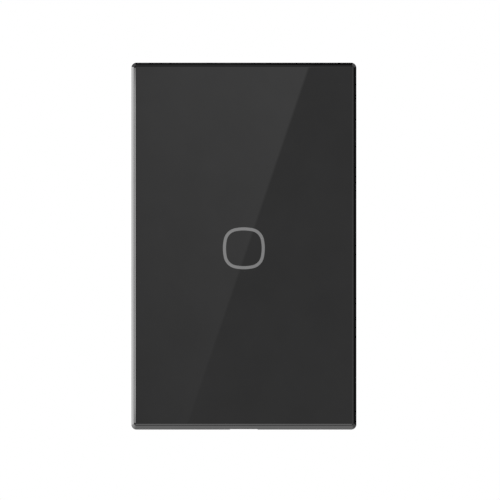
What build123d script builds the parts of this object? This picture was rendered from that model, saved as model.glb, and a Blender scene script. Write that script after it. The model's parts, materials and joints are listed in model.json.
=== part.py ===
from build123d import *
import math
import os

# A touch light switch. A glass front panel pulls off a wall base, and the electronics sit in a
# housing that goes into the wall box. Units are millimetres. +X is to the right for a person who
# faces the switch, +Z is up and +Y goes into the wall, so the wall plane is Y = 0. A height is a
# distance out of the wall plane toward the room, so a negative height is inside the wall.

# Front panel: outline, sloped rim and layers
plate_width = 73.6
plate_height = 120.0
plate_front = 9.7
plate_corner = 1.7
rim_width = 0.95
rim_foot_width = 1.45
rim_drop = 0.95
rim_land = 0.12
glass_thickness = 3.0
glass_gap = 0.05
glass_corner = 0.8
glass_arris_width = 0.4
glass_arris_depth = 0.22
print_thickness = 0.1
print_inset = 0.3
tape_thickness = 0.3
tape_inset = 1.0
web_thickness = 1.2
skirt_wall = 1.6
skirt_corner = 0.8
notch_width = 9.0
notch_front_depth = 0.15
notch_back_depth = 1.0

# Touch ring: a square with bowed sides and round corners, and the light guide behind it
ring_half = 6.34
ring_corner_radius = 4.17
ring_corner_place = 1.97
ring_stroke = 1.0
ring_drop = 0.7
ring_print_margin = 0.5
guide_wall = 0.6
guide_gap = 0.1
guide_flange = 0.8
guide_flange_thickness = 0.6

# Wall base and the tongues that hold the front panel on it
base_inset = 0.6
base_thickness = 2.4
base_corner = 1.2
panel_gap = 0.2
spigot_gap = 0.3
spigot_wall = 1.4
spigot_height = 2.2
tongue_width = 8.0
tongue_thickness = 1.2
tongue_gap = 0.08
tongue_reach = 1.6
tongue_row_shares = (-0.33, 0, 0.33)
board_window_width = 30.0
board_window_height = 40.0

# Steel mounting plate and its screws
yoke_width = 60.0
yoke_height = 104.0
yoke_thickness = 1.2
yoke_corner = 3.0
yoke_gap = 0.15
screw_pitch = 84.0
slot_length = 9.0
slot_width = 4.4
mount_shank_radius = 1.75
mount_shank_length = 23.0
mount_neck_radius = 1.4
mount_neck_past = 0.8
mount_head_radius = 3.4
mount_head_height = 2.0
mount_head_gap = 0.6
plate_screw_radius = 1.0
plate_screw_head = 1.9
plate_screw_inset = 8.0
thread_gap = 0.05

# Rear housing, the body in the wall
housing_width = 45.0
housing_height = 67.0
housing_depth = 26.0
housing_wall = 1.8
housing_corner = 3.0
housing_gap = 0.3
post_size = 4.8
housing_screw_radius = 1.1
housing_screw_head = 2.1
housing_screw_length = 10.0
vent_count = 5
vent_pitch = 3.4
vent_width = 1.4
vent_length = 12.0
vent_rise = 12.0
label_width = 34.0
label_height = 30.0
label_depth = 0.3
label_corner = 1.0
label_rise = 9.0

# Wire terminals with rising clamp cages, and the plate with the wire holes behind them
way_count = 3
way_pitch = 9.4
wire_plate_inset = 0.6
wire_plate_gap = 0.1
block_side_wall = 1.0
block_front_wall = 1.2
block_end_wall = 1.0
head_ledge = 1.2
head_recess = 0.5
head_gap = 0.15
terminal_head_radius = 2.6
terminal_head_height = 2.0
terminal_shank_radius = 1.7
terminal_gap = 0.2
driver_window_margin = 3.0
driver_window_corner = 1.0
cage_width = 6.6
cage_depth = 6.0
cage_wall = 1.0
cage_side = 0.8
cage_nut = 1.4
cage_play = 0.3
cage_travel = 3.0
wire_space = 4.4
wire_hole_radius = 2.1
bar_thickness = 0.9
bar_width = 4.0
bar_tail_gap = 0.5
bar_end_gap = 0.8

# Power board and the parts standing on it
board_margin = 0.7
board_thickness = 1.6
pillar_height = 3.0
pillar_radius = 2.2
board_post_gap = 0.4
board_block_gap = 0.5
board_screw_radius = 0.9
board_screw_head = 1.9
board_screw_head_height = 1.3
board_screw_length = 4.0
board_screw_inset = 2.8
row_gap = 1.0
edge_gap = 1.2

# Touch board and what it carries
touch_width = 38.0
touch_height = 50.0
touch_thickness = 1.2
touch_corner = 1.0
touch_screw_inset = 2.8
spring_radius = 4.0
spring_wire = 0.5
spring_gap = 0.1
chip_width = 9.9
chip_height = 3.9
chip_thickness = 1.4
chip_drop = 13.0
lamp_length = 1.6
lamp_width = 0.8
lamp_thickness = 0.6
link_count = 4
link_pitch = 2.54
link_pin = 0.64
link_gap = 0.13
link_strip = 2.5
link_offset = 1.5
link_rise = 13.6
link_socket_height = 8.5
link_socket_floor = 1.0
link_pin_proud = 0.8
link_pin_tip_gap = 0.4

# Relay
relay_width = 15.5
relay_height = 19.0
relay_depth = 15.3
relay_rise = 0.3
relay_wall = 0.6
relay_fit = 0.1
relay_base_thickness = 1.4
relay_corner = 0.6
yoke_leg = 1.0
core_radius = 2.0
bobbin_radius = 2.6
bobbin_flange_width = 10.0
bobbin_flange = 0.8
coil_radius = 4.7
pole_height = 11.0
pole_tuck = 0.6
armature_gap = 0.7
armature_width = 9.0
armature_thickness = 1.0
armature_hinge_gap = 0.3
leaf_width = 4.0
leaf_thickness = 0.3
contact_radius = 1.2
contact_thickness = 0.8
contact_gap = 1.0
contact_edge = 2.0
relay_post = 1.0
relay_pin_radius = 0.45
relay_pin_inset = 2.0
relay_pin_length = 3.0

# Mains supply on the power board
transformer_width = 13.0
transformer_height = 14.0
transformer_depth = 11.0
transformer_core_depth = 5.0
transformer_leg = 1.6
transformer_middle_leg = 3.2
transformer_yoke = 2.0
transformer_bobbin_wall = 0.7
transformer_play = 0.2
winding_build = 1.7
smoothing_radius = 4.0
smoothing_length = 13.0
output_radius = 3.1
output_length = 9.0
can_groove = 0.35
can_groove_rise = 1.6
film_width = 13.0
film_height = 6.0
film_depth = 11.0
film_edge = 0.5
film_x = 7.5
varistor_radius = 4.2
varistor_thickness = 3.2
varistor_x = -8.0
lead_radius = 0.35
lead_rise = 1.2
fuse_radius = 1.6
fuse_length = 8.0
fuse_cap = 1.4
fuse_cap_step = 0.2
fuse_x = -8.0
choke_radius = 2.8
choke_waist = 1.6
choke_flange = 1.1
choke_length = 7.5
bridge_width = 4.7
bridge_height = 3.9
bridge_depth = 2.2
converter_width = 5.0
converter_height = 4.0
converter_depth = 1.6
body_edge = 0.3

# Shapes of screw recesses, and how far cuts run past a face
recess_width = 0.7
recess_share = 0.62
cut_past = 1.0

# Heights out of the wall plane that the layers share
panel_back = base_thickness + panel_gap
rim_base = plate_front - rim_drop
glass_back = plate_front - glass_thickness
print_back = glass_back - print_thickness
tape_back = print_back - tape_thickness
web_back = tape_back - web_thickness
ring_print_back = print_back - print_thickness
board_face = base_thickness + touch_thickness
housing_back = -housing_depth
floor_front = housing_back + housing_wall
power_back = floor_front + pillar_height
power_front = power_back + board_thickness

# The glass sits a little above the middle, because the rim is wider at its foot
opening_width = plate_width - 2 * rim_width
opening_height = plate_height - rim_width - rim_foot_width
opening_rise = (rim_foot_width - rim_width) / 2
skirt_width = plate_width - 2 * skirt_wall
skirt_height = plate_height - 2 * skirt_wall
spigot_width = skirt_width - 2 * spigot_gap
spigot_length = skirt_height - 2 * spigot_gap

# Places in the housing
inner_half_width = housing_width / 2 - housing_wall
inner_half_height = housing_height / 2 - housing_wall
post_x = inner_half_width - post_size / 2
post_z = inner_half_height - post_size / 2
post_places = [(i * post_x, j * post_z) for i in (-1, 1) for j in (-1, 1)]
inner_bottom = -inner_half_height

# Levels along a terminal, counted up from the housing's inner bottom
ledge_level = inner_bottom + terminal_head_height + head_recess
chamber_level = ledge_level + head_ledge
nut_level = chamber_level + cage_play + cage_travel
bar_level = nut_level + cage_nut + cage_play
wire_level = bar_level + bar_thickness
cage_far_level = wire_level + wire_space
chamber_end = cage_far_level + cage_wall + cage_play
block_end = chamber_end + block_end_wall
wire_z = wire_level + wire_space / 2
chamber_width = cage_width + 2 * cage_play
chamber_depth = cage_depth + 2 * cage_play
chamber_front = floor_front + chamber_depth
block_front = chamber_front + block_front_wall
cage_back = floor_front + cage_play
terminal_height = floor_front + chamber_depth / 2
way_places = [(i - (way_count - 1) / 2) * way_pitch for i in range(way_count)]
ways_span = (way_count - 1) * way_pitch
block_width = ways_span + chamber_width + 2 * block_side_wall
block_height = block_end - inner_bottom
block_middle = (inner_bottom + block_end) / 2
wire_plate_width = block_width - 2 * wire_plate_inset
wire_plate_height = block_height - 2 * wire_plate_inset
tail_back = block_front + bar_tail_gap
tail_front = tail_back + bar_thickness

# Places on the power board
board_half_width = inner_half_width - board_margin
board_low = block_end + board_block_gap
board_high = inner_half_height - post_size - board_post_gap
board_middle = (board_low + board_high) / 2
board_length = board_high - board_low
tail_end = board_low + edge_gap
relay_x = -board_half_width + edge_gap + relay_width / 2
relay_z = tail_end + bar_thickness + row_gap + relay_height / 2
transformer_x = board_half_width - edge_gap - transformer_width / 2
output_x = board_half_width - edge_gap - output_radius
output_z = board_low + edge_gap / 2 + output_radius
transformer_z = output_z + output_radius + row_gap / 2 + transformer_height / 2
smoothing_x = -board_half_width + edge_gap + smoothing_radius
smoothing_z = relay_z + relay_height / 2 + row_gap + smoothing_radius
choke_x = smoothing_x + smoothing_radius + row_gap + choke_radius
choke_z = relay_z + relay_height / 2 + row_gap + choke_radius
film_z = board_high - edge_gap - film_height / 2
varistor_z = board_high - edge_gap - varistor_thickness / 2
fuse_z = varistor_z - varistor_thickness / 2 - row_gap - fuse_radius
bridge_x = link_offset + link_strip / 2 + row_gap + bridge_width / 2
bridge_z = film_z - film_height / 2 - row_gap - bridge_height / 2
converter_x = board_half_width - edge_gap - converter_width / 2
converter_z = transformer_z + transformer_height / 2 + row_gap + converter_height / 2
board_screw_x = board_half_width - board_screw_inset
board_screw_z = board_high - board_screw_inset
middle_screw_x = (relay_x + relay_width / 2 + transformer_x - transformer_width / 2) / 2
middle_screw_z = tail_end + bar_thickness + row_gap + board_screw_head
pillar_places = [
    (middle_screw_x, middle_screw_z),
    (-board_screw_x, board_screw_z),
    (board_screw_x, board_screw_z),
]
relay_pin_x = relay_width / 2 - relay_pin_inset
relay_pin_z = relay_height / 2 - relay_pin_inset
relay_pin_places = [
    (relay_x + i * relay_pin_x, relay_z + j * relay_pin_z)
    for i, j in ((-1, 1), (1, 1), (0, -1), (-1, -1), (1, -1))
]
link_pin_places = [
    (link_offset, link_rise + (i - (link_count - 1) / 2) * link_pitch) for i in range(link_count)
]
touch_screw_x = touch_width / 2 - touch_screw_inset
touch_screw_z = touch_height / 2 - touch_screw_inset
touch_screw_places = [(i * touch_screw_x, j * touch_screw_z) for i, j in ((-1, 1), (1, -1))]

# Places on the base: the tongues run midway between the plate's recess and the spigot
recess_half_width = yoke_width / 2 + yoke_gap
spigot_inner = spigot_width / 2 - spigot_wall
tongue_x = (recess_half_width + spigot_inner) / 2
tongue_places = [(i * tongue_x, share * plate_height) for i in (-1, 1) for share in tongue_row_shares]
plate_screw_x = yoke_width / 2 - plate_screw_inset
plate_screw_z = yoke_height / 2 - plate_screw_inset
plate_screw_places = [(i * plate_screw_x, j * plate_screw_z) for i in (-1, 1) for j in (-1, 1)]
mount_places = [(0, screw_pitch / 2), (0, -screw_pitch / 2)]

LOW = (Align.CENTER, Align.CENTER, Align.MIN)
HIGH = (Align.CENTER, Align.CENTER, Align.MAX)


def out(height):
    # A plane parallel to the wall, this height out of it. Its own y axis points up.
    return Plane.XZ.offset(height)


def ring_plane(height):
    # The same, with its origin at the middle of the touch ring.
    return Plane((0, -height, -ring_drop), x_dir=(1, 0, 0), z_dir=(0, -1, 0))


def ring_face(grow, mode=Mode.ADD):
    # The ring's centreline grown outward, filled. Each quarter has a bowed side and a round corner,
    # and the side's radius is the one that runs smoothly into the corner's.
    half = ring_half + grow
    corner_radius = ring_corner_radius + grow
    bow = ring_corner_place - half
    side_radius = (corner_radius**2 - bow**2 - ring_corner_place**2) / (2 * (bow + corner_radius))
    reach = math.degrees(math.atan2(ring_corner_place, bow + side_radius))
    with BuildLine(Plane.XY) as outline:
        for quarter in range(0, 360, 90):
            side = Vector(half - side_radius, 0).rotate(Axis.Z, quarter)
            corner = Vector(ring_corner_place, ring_corner_place).rotate(Axis.Z, quarter)
            CenterArc(side, side_radius, quarter - reach, 2 * reach)
            CenterArc(corner, corner_radius, quarter + reach, 90 - 2 * reach)
    make_face(outline.edges(), mode=mode)


def cross_recess(head_radius, depth):
    # A cross cut into the screw heads whose tops are at the current places.
    reach = 2 * head_radius * recess_share
    Box(reach, recess_width, depth, align=HIGH, mode=Mode.SUBTRACT)
    Box(recess_width, reach, depth, align=HIGH, mode=Mode.SUBTRACT)


def pan_screws(plane, back, places, head_radius, head_height, shanks):
    # Screws whose heads stand on a plane. Each shank is a radius and a length, from the head on.
    # The back axis points from the heads along the shanks.
    with BuildPart(plane) as group:
        with Locations(*places):
            Cylinder(head_radius, head_height, align=LOW)
        chamfer(group.edges().group_by(back)[0], head_height / 4)
        depth = 0
        for radius, length in shanks:
            with Locations(*[(x, y, -depth) for x, y in places]):
                Cylinder(radius, length, align=HIGH)
            depth += length
        with Locations(*[(x, y, head_height) for x, y in places]):
            cross_recess(head_radius, head_height / 2)
    return group


def sunk_screws(plane, places, head_radius, shank_radius, length):
    # Countersunk screws, flush with a plane. The length is the whole screw's.
    head_height = head_radius - shank_radius
    with BuildPart(plane) as group:
        with Locations(*places):
            Cylinder(shank_radius, length, align=HIGH)
            Cone(shank_radius, head_radius, head_height, align=HIGH)
            cross_recess(head_radius, head_height * recess_share)
    return group


def can_capacitor(x, z, radius, length):
    # An upright round can with a rolled groove near its seal.
    with BuildPart() as can:
        with BuildSketch(out(power_front)):
            with Locations((x, z)):
                Circle(radius)
        extrude(amount=length)
        fillet(can.edges().group_by(Axis.Y)[0], can_groove)
        with Locations(Location((x, -power_front - can_groove_rise, z), (90, 0, 0))):
            Torus(radius + can_groove / 2, can_groove, mode=Mode.SUBTRACT)
    return can


def board_box(x, z, width, height, depth, edge):
    # A moulded body standing on the power board, with its front edges broken.
    with BuildPart() as body:
        with BuildSketch(out(power_front)):
            with Locations((x, z)):
                Rectangle(width, height)
        extrude(amount=depth)
        chamfer(body.edges().group_by(Axis.Y)[0], edge)
    return body


pieces = {}

# Front panel
with BuildPart() as panel_frame:
    with BuildSketch(out(panel_back)):
        RectangleRounded(plate_width, plate_height, plate_corner)
    extrude(amount=rim_base - panel_back)
    with BuildSketch(out(rim_base)):
        RectangleRounded(plate_width, plate_height, plate_corner)
    with BuildSketch(out(plate_front)):
        with Locations((0, opening_rise)):
            RectangleRounded(
                opening_width + 2 * rim_land,
                opening_height + 2 * rim_land,
                glass_corner + glass_gap + rim_land,
            )
    loft(ruled=True)
    with BuildSketch(out(tape_back)):
        with Locations((0, opening_rise)):
            RectangleRounded(opening_width, opening_height, glass_corner + glass_gap)
    extrude(amount=plate_front - tape_back + cut_past, mode=Mode.SUBTRACT)
    with BuildSketch(out(web_back)):
        RectangleRounded(skirt_width, skirt_height, skirt_corner)
    extrude(amount=-(web_back - panel_back + cut_past), mode=Mode.SUBTRACT)
    with BuildSketch(ring_plane(web_back - cut_past)):
        ring_face(ring_stroke / 2 + guide_wall + guide_gap)
    extrude(amount=web_thickness + 2 * cut_past, mode=Mode.SUBTRACT)
    with BuildSketch(out(web_back)):
        with Locations(*tongue_places):
            Rectangle(tongue_thickness, tongue_width)
    extrude(amount=-(web_back - base_thickness + tongue_reach))
    chamfer(panel_frame.edges().group_by(Axis.Y)[-1], tongue_thickness / 4)
    # The pry notch is a scoop in the bottom edge, deeper toward the wall
    foot = -plate_height / 2
    notch_slope = (notch_back_depth - notch_front_depth) / (rim_base - panel_back)
    notch_top = rim_base + notch_front_depth / notch_slope
    with BuildSketch(Plane.YZ):
        Polygon(
            (-panel_back, foot + notch_back_depth),
            (-notch_top, foot),
            (-notch_top, foot - cut_past),
            (-panel_back, foot - cut_past),
            align=None,
        )
    extrude(amount=notch_width / 2, both=True, mode=Mode.SUBTRACT)
pieces["panel_frame"] = panel_frame

with BuildPart() as panel_tape:
    with BuildSketch(out(tape_back)):
        with Locations((0, opening_rise)):
            RectangleRounded(
                opening_width - 2 * tape_inset, opening_height - 2 * tape_inset, glass_corner
            )
        Rectangle(board_window_width, board_window_height, mode=Mode.SUBTRACT)
    extrude(amount=tape_thickness)
pieces["panel_tape"] = panel_tape

with BuildPart() as ring_print:
    with BuildSketch(ring_plane(ring_print_back)):
        ring_face(ring_stroke / 2 + ring_print_margin)
        ring_face(-ring_stroke / 2 - ring_print_margin, mode=Mode.SUBTRACT)
    extrude(amount=print_thickness)
pieces["ring_print"] = ring_print

with BuildPart() as glass_print:
    with BuildSketch(out(print_back)):
        with Locations((0, opening_rise)):
            Rectangle(opening_width - 2 * print_inset, opening_height - 2 * print_inset)
    extrude(amount=print_thickness)
    with BuildSketch(ring_plane(print_back)):
        ring_face(ring_stroke / 2)
        ring_face(-ring_stroke / 2, mode=Mode.SUBTRACT)
    extrude(amount=print_thickness, mode=Mode.SUBTRACT)
pieces["glass_print"] = glass_print

with BuildPart() as glass_panel:
    with BuildSketch(out(glass_back)):
        with Locations((0, opening_rise)):
            RectangleRounded(
                opening_width - 2 * glass_gap, opening_height - 2 * glass_gap, glass_corner
            )
    extrude(amount=glass_thickness)
    glass_face = glass_panel.faces().sort_by(Axis.Y)[0]
    chamfer(glass_face.edges(), glass_arris_width, glass_arris_depth, reference=glass_face)
pieces["glass_panel"] = glass_panel

with BuildPart() as light_guide:
    with BuildSketch(ring_plane(web_back - guide_flange_thickness)):
        ring_face(ring_stroke / 2 + guide_wall + guide_flange)
        ring_face(-ring_stroke / 2 - guide_wall, mode=Mode.SUBTRACT)
    extrude(amount=guide_flange_thickness)
    with BuildSketch(ring_plane(web_back)):
        ring_face(ring_stroke / 2 + guide_wall)
        ring_face(-ring_stroke / 2 - guide_wall, mode=Mode.SUBTRACT)
    extrude(amount=ring_print_back - web_back)
pieces["light_guide"] = light_guide

# Wall base
with BuildPart() as base_frame:
    with BuildSketch(out(0)):
        RectangleRounded(plate_width - 2 * base_inset, plate_height - 2 * base_inset, base_corner)
    extrude(amount=base_thickness)
    with BuildSketch(out(base_thickness)):
        RectangleRounded(spigot_width, spigot_length, skirt_corner)
        Rectangle(
            spigot_width - 2 * spigot_wall, spigot_length - 2 * spigot_wall, mode=Mode.SUBTRACT
        )
    extrude(amount=spigot_height)
    with BuildSketch(out(0)):
        RectangleRounded(yoke_width + 2 * yoke_gap, yoke_height + 2 * yoke_gap, yoke_corner)
    extrude(amount=yoke_thickness, mode=Mode.SUBTRACT)
    with BuildSketch(out(0)):
        Rectangle(board_window_width, board_window_height)
        with Locations(*mount_places):
            Circle(mount_head_radius + mount_head_gap)
        with Locations(*tongue_places):
            Rectangle(tongue_thickness + 2 * tongue_gap, tongue_width + 2 * tongue_gap)
    extrude(amount=base_thickness, mode=Mode.SUBTRACT)
    with Locations(out(base_thickness)):
        with Locations(*post_places):
            CounterSinkHole(
                housing_screw_radius + thread_gap,
                housing_screw_head + thread_gap,
                base_thickness,
                counter_sink_angle=90,
            )
        with Locations(*plate_screw_places):
            CounterSinkHole(
                plate_screw_radius + thread_gap,
                plate_screw_head + thread_gap,
                base_thickness,
                counter_sink_angle=90,
            )
        with Locations(*touch_screw_places):
            Hole(board_screw_radius + thread_gap, base_thickness)
pieces["base_frame"] = base_frame

with BuildPart() as mounting_plate:
    with BuildSketch(out(0)):
        RectangleRounded(yoke_width, yoke_height, yoke_corner)
        Rectangle(
            housing_width + 2 * housing_gap, housing_height + 2 * housing_gap, mode=Mode.SUBTRACT
        )
        with Locations(*mount_places):
            SlotOverall(slot_length, slot_width, mode=Mode.SUBTRACT)
        with Locations(*plate_screw_places):
            Circle(plate_screw_radius + thread_gap, mode=Mode.SUBTRACT)
    extrude(amount=yoke_thickness)
pieces["mounting_plate"] = mounting_plate

pieces["plate_screws"] = sunk_screws(
    out(base_thickness), plate_screw_places, plate_screw_head, plate_screw_radius, base_thickness
)
pieces["housing_screws"] = sunk_screws(
    out(base_thickness), post_places, housing_screw_head, housing_screw_radius, housing_screw_length
)
for name, place in zip(("mounting_screw_upper", "mounting_screw_lower"), mount_places):
    pieces[name] = pan_screws(
        out(yoke_thickness),
        Axis.Y,
        [place],
        mount_head_radius,
        mount_head_height,
        [
            (mount_neck_radius, yoke_thickness + mount_neck_past),
            (mount_shank_radius, mount_shank_length),
        ],
    )

# Rear housing, with a square post for a screw in each corner
with BuildPart() as rear_housing:
    with BuildSketch(out(housing_back)):
        RectangleRounded(housing_width, housing_height, housing_corner)
    extrude(amount=yoke_thickness - housing_back)
    chamfer(rear_housing.edges().group_by(Axis.Y)[-1], housing_wall / 2)
    with BuildSketch(out(floor_front)):
        Rectangle(2 * inner_half_width, 2 * inner_half_height)
        with Locations(*post_places):
            Rectangle(post_size, post_size, mode=Mode.SUBTRACT)
    extrude(amount=yoke_thickness - floor_front, mode=Mode.SUBTRACT)
    with BuildSketch(out(yoke_thickness)):
        with Locations(*post_places):
            Circle(housing_screw_radius + thread_gap)
    extrude(amount=-housing_screw_length, mode=Mode.SUBTRACT)
    with BuildSketch(out(housing_back)):
        with Locations((0, block_middle)):
            Rectangle(wire_plate_width + 2 * wire_plate_gap, wire_plate_height + 2 * wire_plate_gap)
    extrude(amount=housing_wall, mode=Mode.SUBTRACT)
    with BuildSketch(out(housing_back)):
        with Locations((0, label_rise)):
            RectangleRounded(label_width, label_height, label_corner)
    extrude(amount=label_depth, mode=Mode.SUBTRACT)
    # A window in the bottom wall, through which a screwdriver reaches the terminal screws
    with BuildSketch(Plane.XY.offset(inner_bottom)):
        with Locations((0, -terminal_height)):
            RectangleRounded(
                ways_span + 2 * driver_window_margin, 2 * driver_window_margin, driver_window_corner
            )
    extrude(amount=-housing_wall, mode=Mode.SUBTRACT)
    # Vent slots through both side walls, in a row along the depth
    vent_middle = (floor_front + yoke_thickness) / 2
    with BuildSketch(Plane.YZ):
        with Locations((-vent_middle, vent_rise)):
            with GridLocations(vent_pitch, 0, vent_count, 1):
                SlotOverall(vent_length, vent_width, rotation=90)
    extrude(amount=housing_width, both=True, mode=Mode.SUBTRACT)
pieces["rear_housing"] = rear_housing

with BuildPart() as board_pillars:
    with BuildSketch(out(floor_front)):
        with Locations(*pillar_places):
            Circle(pillar_radius)
            Circle(board_screw_radius + thread_gap, mode=Mode.SUBTRACT)
    extrude(amount=pillar_height)
pieces["board_pillars"] = board_pillars

# Wire terminals. The block's chambers are open at the back, where the wire plate covers them.
with BuildPart() as wire_plate:
    with BuildSketch(out(housing_back)):
        with Locations((0, block_middle)):
            Rectangle(wire_plate_width, wire_plate_height)
        with Locations(*[(x, wire_z) for x in way_places]):
            Circle(wire_hole_radius, mode=Mode.SUBTRACT)
    extrude(amount=housing_wall)
pieces["wire_plate"] = wire_plate

with BuildPart() as terminal_block:
    with BuildSketch(out(floor_front)):
        with Locations((0, block_middle)):
            Rectangle(block_width, block_height)
    extrude(amount=block_front - floor_front)
    with BuildSketch(out(floor_front)):
        with Locations(*[(x, (chamber_level + chamber_end) / 2) for x in way_places]):
            Rectangle(chamber_width, chamber_end - chamber_level)
    extrude(amount=chamber_depth, mode=Mode.SUBTRACT)
    with BuildSketch(Plane.XY.offset(inner_bottom)):
        with Locations(*[(x, -terminal_height) for x in way_places]):
            Circle(terminal_head_radius + head_gap)
    extrude(amount=ledge_level - inner_bottom, mode=Mode.SUBTRACT)
    with BuildSketch(Plane.XY.offset(ledge_level)):
        with Locations(*[(x, -terminal_height) for x in way_places]):
            Circle(terminal_shank_radius + terminal_gap)
    extrude(amount=head_ledge, mode=Mode.SUBTRACT)
    with BuildSketch(out(chamber_front)):
        with Locations(*[(x, bar_level + bar_thickness / 2) for x in way_places]):
            Rectangle(bar_width, bar_thickness)
    extrude(amount=block_front_wall, mode=Mode.SUBTRACT)
pieces["terminal_block"] = terminal_block

with BuildPart() as terminal_bars:
    with BuildSketch(out(floor_front + bar_end_gap)):
        with Locations(*[(x, bar_level + bar_thickness / 2) for x in way_places]):
            Rectangle(bar_width, bar_thickness)
    extrude(amount=tail_front - floor_front - bar_end_gap)
    with BuildSketch(out(tail_back)):
        with Locations(*[(x, (bar_level + tail_end + bar_thickness) / 2) for x in way_places]):
            Rectangle(bar_width, tail_end + bar_thickness - bar_level)
    extrude(amount=bar_thickness)
    with BuildSketch(out(power_front)):
        with Locations(*[(x, tail_end + bar_thickness / 2) for x in way_places]):
            Rectangle(bar_width, bar_thickness)
    extrude(amount=tail_back - power_front)
pieces["terminal_bars"] = terminal_bars

for number, x in enumerate(way_places, 1):
    pieces[f"terminal_screw_{number}"] = pan_screws(
        Plane((x, -terminal_height, ledge_level), x_dir=(1, 0, 0), z_dir=(0, 0, -1)),
        Axis.Z,
        [(0, 0)],
        terminal_head_radius,
        terminal_head_height,
        [(terminal_shank_radius, nut_level + cage_nut - ledge_level)],
    )
    with BuildPart() as clamp_cage:
        with BuildSketch(out(cage_back)):
            with Locations((x, (nut_level + cage_far_level + cage_wall) / 2)):
                RectangleRounded(
                    cage_width, cage_far_level + cage_wall - nut_level, cage_side / 2
                )
        extrude(amount=cage_depth)
        with BuildSketch(out(cage_back)):
            with Locations((x, (nut_level + cage_nut + cage_far_level) / 2)):
                Rectangle(cage_width - 2 * cage_side, cage_far_level - nut_level - cage_nut)
        extrude(amount=cage_depth, mode=Mode.SUBTRACT)
        with BuildSketch(Plane.XY.offset(nut_level)):
            with Locations((x, -terminal_height)):
                Circle(terminal_shank_radius + thread_gap)
        extrude(amount=cage_nut, mode=Mode.SUBTRACT)
    pieces[f"clamp_cage_{number}"] = clamp_cage

# Power board
with BuildPart() as power_board:
    with BuildSketch(out(power_back)):
        with Locations((0, board_middle)):
            Rectangle(2 * board_half_width, board_length)
        with Locations(*pillar_places):
            Circle(board_screw_radius + thread_gap, mode=Mode.SUBTRACT)
        with Locations(*relay_pin_places):
            Circle(relay_pin_radius + thread_gap, mode=Mode.SUBTRACT)
    extrude(amount=board_thickness)
pieces["power_board"] = power_board

pieces["board_screws"] = pan_screws(
    out(power_front),
    Axis.Y,
    pillar_places,
    board_screw_head,
    board_screw_head_height,
    [(board_screw_radius, board_screw_length)],
)

# Touch board on the front of the base
with BuildPart() as touch_board:
    with BuildSketch(out(base_thickness)):
        RectangleRounded(touch_width, touch_height, touch_corner)
        with Locations(*touch_screw_places):
            Circle(board_screw_radius + thread_gap, mode=Mode.SUBTRACT)
        with Locations(*link_pin_places):
            Circle(link_pin, mode=Mode.SUBTRACT)
    extrude(amount=touch_thickness)
pieces["touch_board"] = touch_board

pieces["touch_board_screws"] = pan_screws(
    out(board_face),
    Axis.Y,
    touch_screw_places,
    board_screw_head,
    board_screw_head_height,
    [(board_screw_radius, touch_thickness + yoke_thickness)],
)

with BuildPart() as touch_spring:
    with BuildSketch(ring_plane(board_face)):
        Circle(spring_radius)
        Circle(spring_radius - 2 * spring_wire, mode=Mode.SUBTRACT)
    extrude(amount=ring_print_back - spring_gap - board_face)
pieces["touch_spring"] = touch_spring

with BuildPart() as touch_chip:
    with BuildSketch(out(base_thickness)):
        with Locations((0, -chip_drop)):
            Rectangle(chip_width, chip_height)
    extrude(amount=-chip_thickness)
    chamfer(touch_chip.edges().group_by(Axis.Y)[-1], body_edge)
pieces["touch_chip"] = touch_chip

with BuildPart() as ring_lamps:
    with BuildSketch(ring_plane(board_face)):
        with PolarLocations(ring_half, 4):
            Rectangle(lamp_width, lamp_length)
    extrude(amount=lamp_thickness)
pieces["ring_lamps"] = ring_lamps

link_length = link_count * link_pitch
with BuildPart() as link_header:
    with BuildSketch(out(base_thickness)):
        with Locations((link_offset, link_rise)):
            Rectangle(link_strip, link_length)
        with Locations(*link_pin_places):
            Rectangle(link_pin, link_pin, mode=Mode.SUBTRACT)
    extrude(amount=-link_strip)
pieces["link_header"] = link_header

socket_front = power_front + link_socket_height
pin_tip = power_front + link_socket_floor + link_pin_tip_gap
with BuildPart() as link_pins:
    with BuildSketch(out(pin_tip)):
        with Locations(*link_pin_places):
            Rectangle(link_pin, link_pin)
    extrude(amount=board_face + link_pin_proud - pin_tip)
pieces["link_pins"] = link_pins

with BuildPart() as link_socket:
    with BuildSketch(out(power_front)):
        with Locations((link_offset, link_rise)):
            Rectangle(link_strip, link_length)
    extrude(amount=link_socket_height)
    with BuildSketch(out(socket_front)):
        with Locations(*link_pin_places):
            Rectangle(link_pin + 2 * link_gap, link_pin + 2 * link_gap)
    extrude(amount=link_socket_floor - link_socket_height, mode=Mode.SUBTRACT)
pieces["link_socket"] = link_socket

# Relay. Its levels run out from the board, and its hinge is at the top of its yoke.
relay_cover_back = power_front + relay_rise
relay_cover_front = power_front + relay_depth
relay_inner_width = relay_width - 2 * relay_wall
relay_inner_height = relay_height - 2 * relay_wall
relay_base_front = power_front + relay_base_thickness
leg_front = relay_base_front + yoke_leg
pole_face = relay_base_front + pole_height
armature_back = pole_face + armature_gap
armature_front = armature_back + armature_thickness
yoke_front = armature_back - armature_hinge_gap
hinge_z = relay_z + relay_inner_height / 2 - relay_wall - yoke_leg
leaf_back = armature_front
contact_z = relay_z - relay_inner_height / 2 + contact_edge
leaf_contact_back = leaf_back - contact_thickness
post_contact_front = leaf_contact_back - contact_gap
armature_low = contact_z + contact_radius + armature_hinge_gap
core_z = relay_z

with BuildPart() as relay_base:
    with BuildSketch(out(power_front)):
        with Locations((relay_x, relay_z)):
            Rectangle(relay_inner_width - 2 * relay_fit, relay_inner_height - 2 * relay_fit)
    extrude(amount=relay_base_thickness)
pieces["relay_base"] = relay_base

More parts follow.
